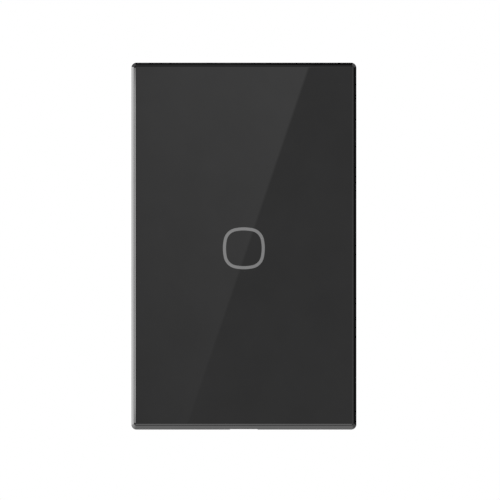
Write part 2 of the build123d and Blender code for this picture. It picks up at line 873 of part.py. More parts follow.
with BuildPart() as relay_cover:
    with BuildSketch(out(relay_cover_back)):
        with Locations((relay_x, relay_z)):
            Rectangle(relay_width, relay_height)
    extrude(amount=relay_cover_front - relay_cover_back)
    chamfer(relay_cover.edges().group_by(Axis.Y)[0], relay_corner)
    with BuildSketch(out(relay_cover_back)):
        with Locations((relay_x, relay_z)):
            Rectangle(relay_inner_width, relay_inner_height)
    extrude(amount=relay_cover_front - relay_cover_back - relay_wall, mode=Mode.SUBTRACT)
pieces["relay_cover"] = relay_cover

with BuildPart() as relay_yoke:
    with BuildSketch(out(relay_base_front)):
        with Locations((relay_x, (core_z - core_radius + hinge_z + yoke_leg) / 2)):
            Rectangle(armature_width, hinge_z + yoke_leg - core_z + core_radius)
    extrude(amount=yoke_leg)
    with BuildSketch(out(relay_base_front)):
        with Locations((relay_x, hinge_z + yoke_leg / 2)):
            Rectangle(armature_width, yoke_leg)
    extrude(amount=yoke_front - relay_base_front)
pieces["relay_yoke"] = relay_yoke

with BuildPart() as relay_core:
    with BuildSketch(out(leg_front)):
        with Locations((relay_x, core_z)):
            Circle(core_radius)
    extrude(amount=pole_face - leg_front)
pieces["relay_core"] = relay_core

bobbin_front = pole_face - pole_tuck
with BuildPart() as relay_bobbin:
    for back in (leg_front, bobbin_front - bobbin_flange):
        with BuildSketch(out(back)):
            with Locations((relay_x, core_z)):
                Rectangle(bobbin_flange_width, bobbin_flange_width)
        extrude(amount=bobbin_flange)
    with BuildSketch(out(leg_front)):
        with Locations((relay_x, core_z)):
            Circle(bobbin_radius)
    extrude(amount=bobbin_front - leg_front)
    with BuildSketch(out(leg_front)):
        with Locations((relay_x, core_z)):
            Circle(core_radius)
    extrude(amount=bobbin_front - leg_front, mode=Mode.SUBTRACT)
pieces["relay_bobbin"] = relay_bobbin

with BuildPart() as relay_coil:
    with BuildSketch(out(leg_front + bobbin_flange)):
        with Locations((relay_x, core_z)):
            Circle(coil_radius)
            Circle(bobbin_radius, mode=Mode.SUBTRACT)
    extrude(amount=bobbin_front - leg_front - 2 * bobbin_flange)
pieces["relay_coil"] = relay_coil

with BuildPart() as relay_armature:
    with BuildSketch(out(armature_back)):
        with Locations((relay_x, (armature_low + hinge_z + yoke_leg) / 2)):
            Rectangle(armature_width, hinge_z + yoke_leg - armature_low)
    extrude(amount=armature_thickness)
pieces["relay_armature"] = relay_armature

with BuildPart() as relay_leaf:
    leaf_low = contact_z - contact_radius
    with BuildSketch(out(leaf_back)):
        with Locations((relay_x, (leaf_low + hinge_z) / 2)):
            Rectangle(leaf_width, hinge_z - leaf_low)
    extrude(amount=leaf_thickness)
    with BuildSketch(out(leaf_back)):
        with Locations((relay_x, contact_z)):
            Circle(contact_radius)
    extrude(amount=-contact_thickness)
pieces["relay_leaf"] = relay_leaf

with BuildPart() as relay_contact:
    with BuildSketch(out(relay_base_front)):
        with Locations((relay_x, contact_z)):
            Rectangle(leaf_width, relay_post)
    extrude(amount=post_contact_front - contact_thickness - relay_base_front)
    with BuildSketch(out(post_contact_front)):
        with Locations((relay_x, contact_z)):
            Circle(contact_radius)
    extrude(amount=-contact_thickness)
pieces["relay_contact"] = relay_contact

with BuildPart() as relay_pins:
    with BuildSketch(out(power_front)):
        with Locations(*relay_pin_places):
            Circle(relay_pin_radius)
    extrude(amount=-relay_pin_length)
pieces["relay_pins"] = relay_pins

# Mains supply. The transformer's windings lie along Z, round the middle leg of its core.
transformer_level = power_front + transformer_depth / 2
leg_window = (transformer_width - transformer_middle_leg) / 2 - transformer_leg
leg_window_x = (transformer_middle_leg + leg_window) / 2
leg_window_height = transformer_height - 2 * transformer_yoke
tube_width = transformer_middle_leg + 2 * transformer_play + 2 * transformer_bobbin_wall
tube_depth = transformer_core_depth + 2 * transformer_play + 2 * transformer_bobbin_wall
flange_width = transformer_width - 2 * transformer_leg - 2 * transformer_play
bobbin_half = leg_window_height / 2 - transformer_play
with BuildPart() as transformer_core:
    with BuildSketch(out(transformer_level - transformer_core_depth / 2)):
        with Locations((transformer_x, transformer_z)):
            Rectangle(transformer_width, transformer_height)
            with Locations((-leg_window_x, 0), (leg_window_x, 0)):
                Rectangle(leg_window, leg_window_height, mode=Mode.SUBTRACT)
    extrude(amount=transformer_core_depth)
pieces["transformer_core"] = transformer_core

with BuildPart() as transformer_bobbin:
    with BuildSketch(Plane.XY.offset(transformer_z - bobbin_half)):
        with Locations((transformer_x, -transformer_level)):
            Rectangle(tube_width, tube_depth)
    extrude(amount=2 * bobbin_half)
    for low in (transformer_z - bobbin_half, transformer_z + bobbin_half - transformer_bobbin_wall):
        with BuildSketch(Plane.XY.offset(low)):
            with Locations((transformer_x, -transformer_level)):
                Rectangle(flange_width, transformer_depth)
        extrude(amount=transformer_bobbin_wall)
    with BuildSketch(Plane.XY.offset(transformer_z - bobbin_half)):
        with Locations((transformer_x, -transformer_level)):
            Rectangle(
                transformer_middle_leg + 2 * transformer_play,
                transformer_core_depth + 2 * transformer_play,
            )
    extrude(amount=2 * bobbin_half, mode=Mode.SUBTRACT)
pieces["transformer_bobbin"] = transformer_bobbin

with BuildPart() as transformer_winding:
    with BuildSketch(Plane.XY.offset(transformer_z - bobbin_half + transformer_bobbin_wall)):
        with Locations((transformer_x, -transformer_level)):
            RectangleRounded(
                tube_width + 2 * winding_build, tube_depth + 2 * winding_build, winding_build / 2
            )
            Rectangle(tube_width, tube_depth, mode=Mode.SUBTRACT)
    extrude(amount=2 * bobbin_half - 2 * transformer_bobbin_wall)
pieces["transformer_winding"] = transformer_winding

pieces["smoothing_capacitor"] = can_capacitor(
    smoothing_x, smoothing_z, smoothing_radius, smoothing_length
)
pieces["output_capacitor"] = can_capacitor(output_x, output_z, output_radius, output_length)
pieces["film_capacitor"] = board_box(film_x, film_z, film_width, film_height, film_depth, film_edge)
pieces["bridge_rectifier"] = board_box(
    bridge_x, bridge_z, bridge_width, bridge_height, bridge_depth, body_edge
)
pieces["converter_chip"] = board_box(
    converter_x, converter_z, converter_width, converter_height, converter_depth, body_edge
)

varistor_level = power_front + lead_rise + varistor_radius
with BuildPart() as varistor:
    with BuildSketch(Plane.XY.offset(varistor_z - varistor_thickness / 2)):
        with Locations((varistor_x, -varistor_level)):
            Circle(varistor_radius)
    extrude(amount=varistor_thickness)
    fillet(varistor.edges(), varistor_thickness / 4)
    with BuildSketch(out(power_front)):
        with Locations((varistor_x, varistor_z)):
            with GridLocations(varistor_radius, 0, 2, 1):
                Circle(lead_radius)
    extrude(amount=lead_rise + varistor_radius)
pieces["varistor"] = varistor

fuse_level = power_front + lead_rise + fuse_radius
with BuildPart() as fuse:
    with BuildSketch(Plane.YZ.offset(fuse_x - fuse_length / 2)):
        with Locations((-fuse_level, fuse_z)):
            Circle(fuse_radius)
    extrude(amount=fuse_length)
    for start in (fuse_x - fuse_length / 2, fuse_x + fuse_length / 2 - fuse_cap):
        with BuildSketch(Plane.YZ.offset(start)):
            with Locations((-fuse_level, fuse_z)):
                Circle(fuse_radius + fuse_cap_step)
        extrude(amount=fuse_cap)
    with BuildSketch(out(power_front)):
        with Locations((fuse_x, fuse_z)):
            with GridLocations(fuse_length - fuse_cap, 0, 2, 1):
                Circle(lead_radius)
    extrude(amount=lead_rise + fuse_radius)
pieces["fuse"] = fuse

with BuildPart() as choke:
    with BuildSketch(out(power_front)):
        with Locations((choke_x, choke_z)):
            Circle(choke_waist)
    extrude(amount=choke_length)
    for back in (power_front, power_front + choke_length - choke_flange):
        with BuildSketch(out(back)):
            with Locations((choke_x, choke_z)):
                Circle(choke_radius)
        extrude(amount=choke_flange)
pieces["choke"] = choke

os.makedirs("parts", exist_ok=True)
for name, piece in pieces.items():
    piece.part.label = name
    export_step(piece.part, f"parts/{name}.step")
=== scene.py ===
import json
import math

import bmesh
import bpy
import numpy as np
from mathutils import Matrix, Vector


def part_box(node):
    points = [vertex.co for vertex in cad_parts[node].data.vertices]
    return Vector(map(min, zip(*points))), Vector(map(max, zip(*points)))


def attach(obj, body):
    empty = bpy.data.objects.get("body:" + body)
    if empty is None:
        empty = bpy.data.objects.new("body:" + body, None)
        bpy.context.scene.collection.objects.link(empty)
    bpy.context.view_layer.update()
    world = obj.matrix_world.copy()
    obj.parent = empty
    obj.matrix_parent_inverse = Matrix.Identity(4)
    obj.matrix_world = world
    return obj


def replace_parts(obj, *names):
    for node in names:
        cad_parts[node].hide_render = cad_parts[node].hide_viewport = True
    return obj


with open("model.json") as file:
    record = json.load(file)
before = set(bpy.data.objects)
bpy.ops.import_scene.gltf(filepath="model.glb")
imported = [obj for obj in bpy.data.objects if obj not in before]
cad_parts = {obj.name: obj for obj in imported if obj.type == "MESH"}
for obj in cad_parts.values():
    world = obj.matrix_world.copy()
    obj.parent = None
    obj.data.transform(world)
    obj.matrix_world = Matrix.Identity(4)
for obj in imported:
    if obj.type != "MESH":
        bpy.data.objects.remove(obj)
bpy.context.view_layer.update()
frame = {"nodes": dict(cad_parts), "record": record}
nodes = frame["nodes"]
mm = 0.001
print("frame loaded with", len(nodes), "nodes")


# Shared steps for finishes
def addNode(tree, kind, settings, inputs):
    node = tree.nodes.new(kind)
    for key, value in settings.items():
        setattr(node, key, value)
    for key, value in inputs.items():
        if isinstance(value, bpy.types.NodeSocket):
            tree.links.new(value, node.inputs[key])
        else:
            node.inputs[key].default_value = value
    return node


def newFinish(name, even):
    # even holds what is the same all over the surface, by the shader's own socket names
    material = bpy.data.materials.new(name)
    material.use_nodes = True
    tree = material.node_tree
    for key, value in even.items():
        tree.nodes["Principled BSDF"].inputs[key].default_value = value
    return material, tree, addNode(tree, "ShaderNodeTexCoord", {}, {}).outputs["Object"]


def varied(material, changing):
    # changing holds what differs from place to place, by the same names
    tree = material.node_tree
    for key, value in changing.items():
        tree.links.new(value, tree.nodes["Principled BSDF"].inputs[key])
    return material


def splitAxes(tree, place):
    return addNode(tree, "ShaderNodeSeparateXYZ", {}, {0: place}).outputs


def stretched(tree, place, scale):
    return addNode(tree, "ShaderNodeMapping", {}, {"Vector": place, "Scale": scale}).outputs[0]


def cloud(tree, place, size, detail=2.0):
    # soft noise whose blobs are about this many metres across
    sockets = {"Vector": place, "Scale": 1 / size, "Detail": detail, "Roughness": 0.55}
    return addNode(tree, "ShaderNodeTexNoise", {}, sockets).outputs["Fac"]


def spread(tree, value, fromLow, fromHigh, toLow, toHigh):
    sockets = {0: value, 1: fromLow, 2: fromHigh, 3: toLow, 4: toHigh}
    return addNode(tree, "ShaderNodeMapRange", {"clamp": True}, sockets).outputs[0]


def evened(tree, noise, low=0, high=1):
    # nearly all of the noise lies between 0.3 and 0.7
    return spread(tree, noise, 0.3, 0.7, low, high)


def figure(tree, operation, first, second=0):
    return addNode(tree, "ShaderNodeMath", {"operation": operation}, {0: first, 1: second}).outputs[0]


def blendColour(tree, share, first, second):
    mix = addNode(tree, "ShaderNodeMix", {"data_type": "RGBA"}, {0: share})
    for socket, value in ((mix.inputs[6], first), (mix.inputs[7], second)):
        if isinstance(value, bpy.types.NodeSocket):
            tree.links.new(value, socket)
        else:
            socket.default_value = (*value, 1)
    return mix.outputs[2]


def bumped(tree, height, depth):
    sockets = {"Height": height, "Distance": depth, "Strength": 1.0}
    return addNode(tree, "ShaderNodeBump", {}, sockets).outputs[0]


def shade(colour, factor):
    return tuple(min(1.0, c * factor) for c in colour)


# Shared steps for meshes
def gridFaces(rows, columns, wrapRows=False):
    # the four corners of each cell on a grid of points, row by row, with each row closed round
    row, column = np.meshgrid(np.arange(rows if wrapRows else rows - 1), np.arange(columns), indexing="ij")
    nextRow, nextColumn = (row + 1) % rows, (column + 1) % columns
    corners = [row * columns + column, row * columns + nextColumn]
    corners += [nextRow * columns + nextColumn, nextRow * columns + column]
    return np.stack(corners, -1).reshape(-1, 4)


def showPiece(name, mesh, slotName, body, finish=None):
    # a piece wears the finish of its slot, unless it has one of its own
    mesh.materials.clear()
    mesh.materials.append(finishes[finish or slotName])
    piece = bpy.data.objects.new(name, mesh)
    bpy.context.scene.collection.objects.link(piece)
    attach(piece, body)
    return piece


def placePiece(name, points, faces, slotName, body, finish=None, sharp=35):
    mesh = bpy.data.meshes.new(name)
    mesh.from_pydata(np.asarray(points).reshape(-1, 3).tolist(), [], faces)
    work = bmesh.new()
    work.from_mesh(mesh)
    bmesh.ops.recalc_face_normals(work, faces=work.faces)
    work.to_mesh(mesh)
    work.free()
    mesh.shade_smooth()
    mesh.set_sharp_from_angle(angle=math.radians(sharp))
    return showPiece(name, mesh, slotName, body, finish)


def closedTurning(name, rows, slotName, body, finish=None):
    # rows by columns of points round an axis; the first and last row are drawn in to one point each
    rowCount, columnCount = rows.shape[:2]
    faces = gridFaces(rowCount - 2, columnCount).tolist()
    points = np.vstack([rows[1:-1].reshape(-1, 3), rows[0].mean(0), rows[-1].mean(0)])
    start, end = len(points) - 2, len(points) - 1
    ring = np.arange(columnCount)
    last = (rowCount - 3) * columnCount
    faces += np.stack([ring * 0 + start, (ring + 1) % columnCount, ring], -1).tolist()
    faces += np.stack([ring * 0 + end, last + ring, last + (ring + 1) % columnCount], -1).tolist()
    return placePiece(name, points, faces, slotName, body, finish)


def ringTurning(name, rows, slotName, body, finish=None):
    # rows by columns of points, closed both ways, as a hollow ring is
    rowCount, columnCount = rows.shape[:2]
    faces = gridFaces(rowCount, columnCount, wrapRows=True).tolist()
    return placePiece(name, rows, faces, slotName, body, finish)


def turned(radius, along, centre, columns):
    # points at each radius and depth round an axis that runs along Y through the centre
    angle = np.linspace(0, 2 * np.pi, columns, endpoint=False)
    radius = np.broadcast_to(np.asarray(radius, float), (len(along),))[:, None]
    x = centre[0] + radius * np.cos(angle)
    z = centre[2] + radius * np.sin(angle)
    y = np.broadcast_to(np.asarray(along, float)[:, None], x.shape)
    return np.stack([x, y, z], -1)


def stepped(value, soft):
    # 0 below, 1 above, with a smooth step that is soft wide
    share = np.clip(value / soft + 0.5, 0, 1)
    return share * share * (3 - 2 * share)


# Camera: straight in front of the plate. The plate's edges in the photo give its place and lens,
# and outlineDepth is how far the plate's widest edge stands out from the wall.
camera = {
    "distance": 0.9,
    "sensor": 36.0,
    "framePixels": 500,
    "plateLeft": 131.15,
    "plateRight": 356.55,
    "plateTop": 62.95,
    "plateBottom": 429.35,
    "outlineDepth": 8.75 * mm,
}
plateLow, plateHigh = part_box("panel_frame")
pixelTall = (plateHigh.z - plateLow.z) / (camera["plateBottom"] - camera["plateTop"])
pixelWide = (plateHigh.x - plateLow.x) / (camera["plateRight"] - camera["plateLeft"])
pixel = (pixelTall + pixelWide) / 2
eyeX = (camera["framePixels"] / 2 - (camera["plateLeft"] + camera["plateRight"]) / 2) * pixel
eyeZ = ((camera["plateTop"] + camera["plateBottom"]) / 2 - camera["framePixels"] / 2) * pixel
eye = Vector((eyeX, -camera["distance"] - camera["outlineDepth"], eyeZ))
cameraData = bpy.data.cameras.new("camera")
cameraData.sensor_width = camera["sensor"]
cameraData.lens = camera["sensor"] * camera["distance"] / (camera["framePixels"] * pixel)
cameraObject = bpy.data.objects.new("camera", cameraData)
cameraObject.location = eye
cameraObject.rotation_euler = (math.radians(90), 0, 0)
bpy.context.scene.collection.objects.link(cameraObject)
bpy.context.scene.camera = cameraObject
bpy.context.scene.view_settings.view_transform = "Standard"
print("camera lens", round(cameraData.lens, 2), "mm, pixel", round(pixel / mm, 4), "mm")


# Studio: world, floor, two soft lamps, and the cards that the gloss mirrors
studio = {
    "ambient": 0.6,
    "floorLevel": -0.62,
    "floorHalf": 4.0,
    "floorColour": (0.86, 0.86, 0.85),
    "floorGrain": 0.4,
    "floorLift": 0.5,
    "lamps": {
        "keyLamp": {"place": (-0.7, -1.0, 1.1), "size": 0.8, "power": 9.0},
        "fillLamp": {"place": (0.9, 1.1, 0.9), "size": 0.9, "power": 5.0},
    },
}


def seenDirectly(tree):
    # 1 where the camera, a mirror or clear plastic looks straight at the surface
    path = addNode(tree, "ShaderNodeLightPath", {}, {})
    either = figure(tree, "MAXIMUM", path.outputs["Is Camera Ray"], path.outputs["Is Glossy Ray"])
    return figure(tree, "MAXIMUM", either, path.outputs["Is Transmission Ray"])


world = bpy.data.worlds.new("studioWorld")
world.use_nodes = True
worldSky = world.node_tree.nodes["Background"]
worldSky.inputs["Color"].default_value = (1, 1, 1, 1)
worldLevel = spread(world.node_tree, seenDirectly(world.node_tree), 0, 1, studio["ambient"], 1)
world.node_tree.links.new(worldLevel, worldSky.inputs["Strength"])
bpy.context.scene.world = world


def flatCard(name, corners):
    mesh = bpy.data.meshes.new(name)
    mesh.from_pydata(corners, [], [(0, 1, 2, 3)])
    card = bpy.data.objects.new(name, mesh)
    bpy.context.scene.collection.objects.link(card)
    return card


def floorFinish():
    even = {"Roughness": 0.9, "Emission Color": (1, 1, 1, 1)}
    material, tree, place = newFinish("studioFloor", even)
    base = studio["floorColour"]
    grain = evened(tree, cloud(tree, place, studio["floorGrain"]))
    lift = figure(tree, "MULTIPLY", seenDirectly(tree), studio["floorLift"])
    varied(material, {"Base Color": blendColour(tree, grain, shade(base, 0.99), base),
                      "Emission Strength": lift})
    material.cycles.emission_sampling = "NONE"
    # clear from beneath, so that a look from below the floor shows the switch
    beneath = addNode(tree, "ShaderNodeNewGeometry", {}, {}).outputs["Backfacing"]
    clear = addNode(tree, "ShaderNodeBsdfTransparent", {}, {})
    layers = {0: beneath, 1: tree.nodes["Principled BSDF"].outputs[0], 2: clear.outputs[0]}
    sided = addNode(tree, "ShaderNodeMixShader", {}, layers)
    tree.links.new(sided.outputs[0], tree.get_output_node("CYCLES").inputs["Surface"])
    return material


reach, floorZ = studio["floorHalf"], studio["floorLevel"]
floor = flatCard("floor", [(-reach, -reach, floorZ), (reach, -reach, floorZ), (reach, reach, floorZ),
                           (-reach, reach, floorZ)])
floor.data.materials.append(floorFinish())


def softLamp(name, look):
    # a round lamp turned to the middle of the plate
    lampData = bpy.data.lights.new(name, "AREA")
    lampData.shape = "DISK"
    lampData.size = look["size"]
    lampData.energy = look["power"]
    lamp = bpy.data.objects.new(name, lampData)
    lamp.location = look["place"]
    lamp.rotation_euler = (-Vector(look["place"])).to_track_quat("-Z", "Y").to_euler()
    bpy.context.scene.collection.objects.link(lamp)


for lampName, lampLook in studio["lamps"].items():
    softLamp(lampName, lampLook)


def mirrorCard(name, corners, paint, cover=None):
    # a card that only the gloss sees; paint makes its brightness from its place, and cover how much
    # of it is there, so that its edges can fade into what lies behind
    card = flatCard(name, corners)
    material = bpy.data.materials.new(name)
    material.use_nodes = True
    tree = material.node_tree
    tree.nodes.clear()
    axes = splitAxes(tree, addNode(tree, "ShaderNodeTexCoord", {}, {}).outputs["Object"])
    glow = addNode(tree, "ShaderNodeEmission", {}, {"Color": (1, 1, 1, 1)})
    tree.links.new(paint(tree, axes), glow.inputs["Strength"])
    output = addNode(tree, "ShaderNodeOutputMaterial", {}, {})
    surface = glow.outputs[0]
    if cover:
        clear = addNode(tree, "ShaderNodeBsdfTransparent", {}, {})
        layers = {0: cover(tree, axes), 1: clear.outputs[0], 2: surface}
        surface = addNode(tree, "ShaderNodeMixShader", {}, layers).outputs[0]
    tree.links.new(surface, output.inputs["Surface"])
    material.cycles.emission_sampling = "NONE"
    card.data.materials.append(material)
    card.visible_camera = False
    card.visible_diffuse = False
    card.visible_shadow = False
    card.visible_volume_scatter = False


# Behind the camera: darker on the right of a slanted edge, and lighter toward the top on its left.
# The edge and the tones are given on the glass. The card's own point is the one that the glass
# mirrors there.
reflection = {
    "cardY": -1.9,
    "cardAcross": (-1.5, 0.7),
    "cardUp": (-1.2, 1.5),
    "edgeAtMiddle": 1.31 * mm,
    "edgeSlant": 0.34,
    "edgeSoftness": 1.3 * mm,
    "right": 0.70,
    "leftMiddle": 0.94,
    "leftPerUp": 2.2,
    "leftPerRight": 2.7,
    "leftRange": (0.6, 1.3),
    "topFade": (0.6, 1.0),
    "topShare": 0.35,
    "wellBeyond": 10,
}
glassLow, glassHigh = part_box("glass_panel")
eyeToGlass = glassLow.y - eye.y
mirrorScale = (glassLow.y - reflection["cardY"] + eyeToGlass) / eyeToGlass


def placeOnGlass(tree, value, eyePlace):
    # from a place on the card to the place on the glass, both measured along one axis
    far = reflection["wellBeyond"]
    nearEnd, farEnd = (eyePlace + (end - eyePlace) / mirrorScale for end in (-far, far))
    return spread(tree, value, -far, far, nearEnd, farEnd)


def paintBehindCamera(tree, axes):
    look = reflection
    across, up = placeOnGlass(tree, axes["X"], eye.x), placeOnGlass(tree, axes["Z"], eye.z)
    edge = figure(tree, "ADD", figure(tree, "MULTIPLY", up, look["edgeSlant"]), look["edgeAtMiddle"])
    soft = look["edgeSoftness"] / mirrorScale
    rightShare = spread(tree, figure(tree, "SUBTRACT", across, edge), -soft, soft, 0, 1)
    left = figure(tree, "ADD", figure(tree, "MULTIPLY", up, look["leftPerUp"]), look["leftMiddle"])
    left = figure(tree, "ADD", left, figure(tree, "MULTIPLY", across, look["leftPerRight"]))
    least, most = look["leftRange"]
    left = figure(tree, "MAXIMUM", figure(tree, "MINIMUM", left, most), least)
    sockets = {"Factor": rightShare, "A": left, "B": look["right"]}
    level = addNode(tree, "ShaderNodeMix", {"data_type": "FLOAT"}, sockets).outputs[0]
    return figure(tree, "MULTIPLY", level, spread(tree, axes["Z"], *look["topFade"], 1, look["topShare"]))


(cardLeft, cardRight), (cardLow, cardHigh) = reflection["cardAcross"], reflection["cardUp"]
behindCorners = ((cardLeft, cardLow), (cardRight, cardLow), (cardRight, cardHigh), (cardLeft, cardHigh))
mirrorCard("cardBehindCamera", [(x, reflection["cardY"], z) for x, z in behindCorners], paintBehindCamera)

# Small cards beside, above and below, each just where one slope of the rim or of the glass edge
# mirrors it: bright on the left and round the lower left corner, dark on the right and above, and
# lifted below. The cards for the side and top slopes stand behind the plane of the glass, so the
# face of the glass never shows them. The others fade toward their ends, by fade in depth and run.
# A card stands at one place on X or Z. It runs along the other, and its glow changes over band.
sideCards = {
    "cardRimLeft": {"across": "X", "at": -0.6, "depths": (0.0, 0.2), "reach": (-0.42, 0.22),
                    "band": (-0.4, -0.15), "glow": (6.5, 8.2)},
    "cardRimRight": {"across": "X", "at": 0.6, "depths": (0.0, 0.2), "reach": (-0.22, 0.22),
                     "glow": (0.03, 0.03)},
    "cardRimTop": {"across": "Z", "at": 0.6, "depths": (0.0, 0.2), "reach": (-0.22, 0.22),
                   "band": (-0.02, 0.02), "glow": (0.12, 0.02)},
    "cardEdgeLeft": {"across": "X", "at": -0.6, "depths": (-1.7, -0.82), "reach": (-0.18, 0.18),
                     "glow": (9.0, 9.0), "fade": (0.12, 0.05)},
    "cardRimBelow": {"across": "Z", "at": -0.2, "depths": (-0.1, 0.06), "reach": (-0.45, 0.14),
                     "band": (-0.2, -0.06), "glow": (5.0, 2.6), "fade": (0.03, 0.05)},
    "cardEdgeBelow": {"across": "Z", "at": -0.2, "depths": (-0.31, -0.18), "reach": (-0.14, 0.14),
                      "glow": (2.6, 2.6), "fade": (0.03, 0.05)},
}


def sideCard(name, look):
    at, (front, back), (low, high) = look["at"], look["depths"], look["reach"]
    run = "Z" if look["across"] == "X" else "X"
    if run == "Z":
        corners = [(at, front, low), (at, back, low), (at, back, high), (at, front, high)]
    else:
        corners = [(low, front, at), (high, front, at), (high, back, at), (low, back, at)]

    def paint(tree, axes):
        return spread(tree, axes[run], *look.get("band", look["reach"]), *look["glow"])

    def fading(tree, value, ends, fade):
        # 1 in the middle and 0 at both ends
        middle, half = sum(ends) / 2, (ends[1] - ends[0]) / 2
        away = figure(tree, "ABSOLUTE", figure(tree, "SUBTRACT", value, middle))
        return spread(tree, away, half - fade, half, 1, 0)

    def cover(tree, axes):
        depthFade, runFade = look["fade"]
        return figure(tree, "MULTIPLY", fading(tree, axes["Y"], look["depths"], depthFade),
                      fading(tree, axes[run], look["reach"], runFade))

    mirrorCard(name, corners, paint, cover if "fade" in look else None)


for cardName, cardLook in sideCards.items():
    sideCard(cardName, cardLook)
print("studio ready")


# Front panel finishes
inkLook = {
    "dark": (0.0010, 0.0010, 0.0012),
    "light": (0.0022, 0.0022, 0.0025),
    "grain": 0.2 * mm,
    "glassDrift": 14 * mm,
    "glassIndex": (1.495, 1.51),
}
ringLook = {
    "dark": (0.213, 0.213, 0.215),
    "light": (0.247, 0.247, 0.249),
    "mesh": 0.25 * mm,
    "depth": 0.004 * mm,
}
frameLook = {
    "dark": (0.0015, 0.0015, 0.0017),
    "light": (0.0035, 0.0035, 0.0038),
    "flow": 4 * mm,
    "flowStretch": (1, 1, 0.25),
    "rough": (0.03, 0.08),
    "peel": 0.9 * mm,
    "peelDepth": 0.0006 * mm,
}


def inkedGlass():
    # polished float glass over black ink: a mirror-flat front with a very slow drift of its gloss
    material, tree, place = newFinish("inkedGlass", {"Roughness": 0.0})
    drift = evened(tree, cloud(tree, place, inkLook["glassDrift"], 3))
    return varied(material, {"Base Color": blendColour(tree, drift, inkLook["dark"], inkLook["light"]),
                             "IOR": spread(tree, drift, 0, 1, *inkLook["glassIndex"])})


def inkBehindGlass():
    # dull black ink with a fine grain
    look = {"Specular IOR Level": 0.0, "Roughness": 0.8}
    material, tree, place = newFinish("inkBehindGlass", look)
    grain = evened(tree, cloud(tree, place, inkLook["grain"]))
    return varied(material, {"Base Color": blendColour(tree, grain, inkLook["dark"], inkLook["light"])})


def printedRing(name, look):
    # the grey print of the touch ring, a little uneven as a screen print is, and flat under gloss
    material, tree, place = newFinish(name, look)
    mesh = cloud(tree, place, ringLook["mesh"], 3)
    share = spread(tree, mesh, 0.35, 0.65, 0, 1)
    varied(material, {"Base Color": blendColour(tree, share, ringLook["dark"], ringLook["light"])})
    if look["Roughness"]:
        varied(material, {"Normal": bumped(tree, mesh, ringLook["depth"])})
    return material


def glossFrame():
    # polished black plastic: faint flow lines, a soft orange peel and a few fine rubbed patches
    look = frameLook
    material, tree, place = newFinish("glossFrame", {"IOR": 1.5})
    flow = cloud(tree, stretched(tree, place, look["flowStretch"]), look["flow"], 3)
    share = spread(tree, flow, 0.35, 0.65, 0, 1)
    peel = cloud(tree, place, look["peel"], 1)
    return varied(material, {"Base Color": blendColour(tree, share, look["dark"], look["light"]),
                             "Roughness": evened(tree, flow, *look["rough"]),
                             "Normal": bumped(tree, peel, look["peelDepth"])})


# Finishes of the base and of what it holds
mouldTexture = {"tone": 7 * mm, "gloss": 3 * mm, "speckFrom": 0.62, "speckTo": 0.74, "speckShade": 0.7}
metalTexture = {"streak": 0.3 * mm, "streakShade": 0.88, "patch": 2.5 * mm, "patchFrom": 0.45,
                "patchTo": 0.75, "patchRough": 0.25}
zincLook = {
    "crystal": 5 * mm,
    "crystalShare": 0.6,
    "fine": 0.5 * mm,
    "dark": (0.34, 0.355, 0.37),
    "light": (0.52, 0.54, 0.55),
    "rough": (0.30, 0.46),
    "depth": 0.006 * mm,
}


def mouldedPlastic(name, look):
    # spark-eroded mould texture as bump, with slow changes of tone and of gloss
    material, tree, place = newFinish(name, {})
    tone = evened(tree, cloud(tree, place, mouldTexture["tone"], 3))
    tint = look.get("tint", 0.06)
    colour = blendColour(tree, tone, shade(look["colour"], 1 - tint), shade(look["colour"], 1 + tint))
    fine = cloud(tree, place, look["grain"])
    speck = spread(tree, fine, mouldTexture["speckFrom"], mouldTexture["speckTo"], 0, look.get("speck", 0.25))
    colour = blendColour(tree, speck, colour, shade(look["colour"], mouldTexture["speckShade"]))
    gloss = cloud(tree, place, mouldTexture["gloss"])
    return varied(material, {"Base Color": colour, "Roughness": evened(tree, gloss, *look["rough"]),
                             "Normal": bumped(tree, fine, look["depth"])})


def drawnMetal(name, look):
    # streaks along one axis from drawing or rolling, under patches of tarnish
    texture = metalTexture
    material, tree, place = newFinish(name, {"Metallic": 1.0})
    streak = cloud(tree, stretched(tree, place, look["streak"]), texture["streak"], 3)
    patch = cloud(tree, place, texture["patch"], 4)
    tarnish = spread(tree, patch, texture["patchFrom"], texture["patchTo"], 0, look["tarnishShare"])
    dark = shade(look["colour"], texture["streakShade"])
    bright = blendColour(tree, evened(tree, streak), dark, look["colour"])
    rough = figure(tree, "ADD", evened(tree, streak, *look["rough"]),
                   figure(tree, "MULTIPLY", tarnish, texture["patchRough"]))
    return varied(material, {"Base Color": blendColour(tree, tarnish, bright, look["tarnish"]),
                             "Roughness": rough, "Normal": bumped(tree, streak, look["depth"])})


def galvanisedSheet():
    # zinc coat: crystals of slightly different grey, each with its own gloss
    look = zincLook
    material, tree, place = newFinish("galvanisedSheet", {"Metallic": 1.0})
    cells = addNode(tree, "ShaderNodeTexVoronoi", {}, {"Vector": place, "Scale": 1 / look["crystal"]})
    grey = addNode(tree, "ShaderNodeSeparateColor", {}, {0: cells.outputs["Color"]}).outputs[0]
    fine = cloud(tree, place, look["fine"], 3)
    level = figure(tree, "ADD", figure(tree, "MULTIPLY", grey, look["crystalShare"]),
                   figure(tree, "MULTIPLY", fine, 1 - look["crystalShare"]))
    return varied(material, {"Base Color": blendColour(tree, level, look["dark"], look["light"]),
                             "Roughness": spread(tree, level, 0.1, 0.9, *look["rough"]),
                             "Normal": bumped(tree, level, look["depth"])})


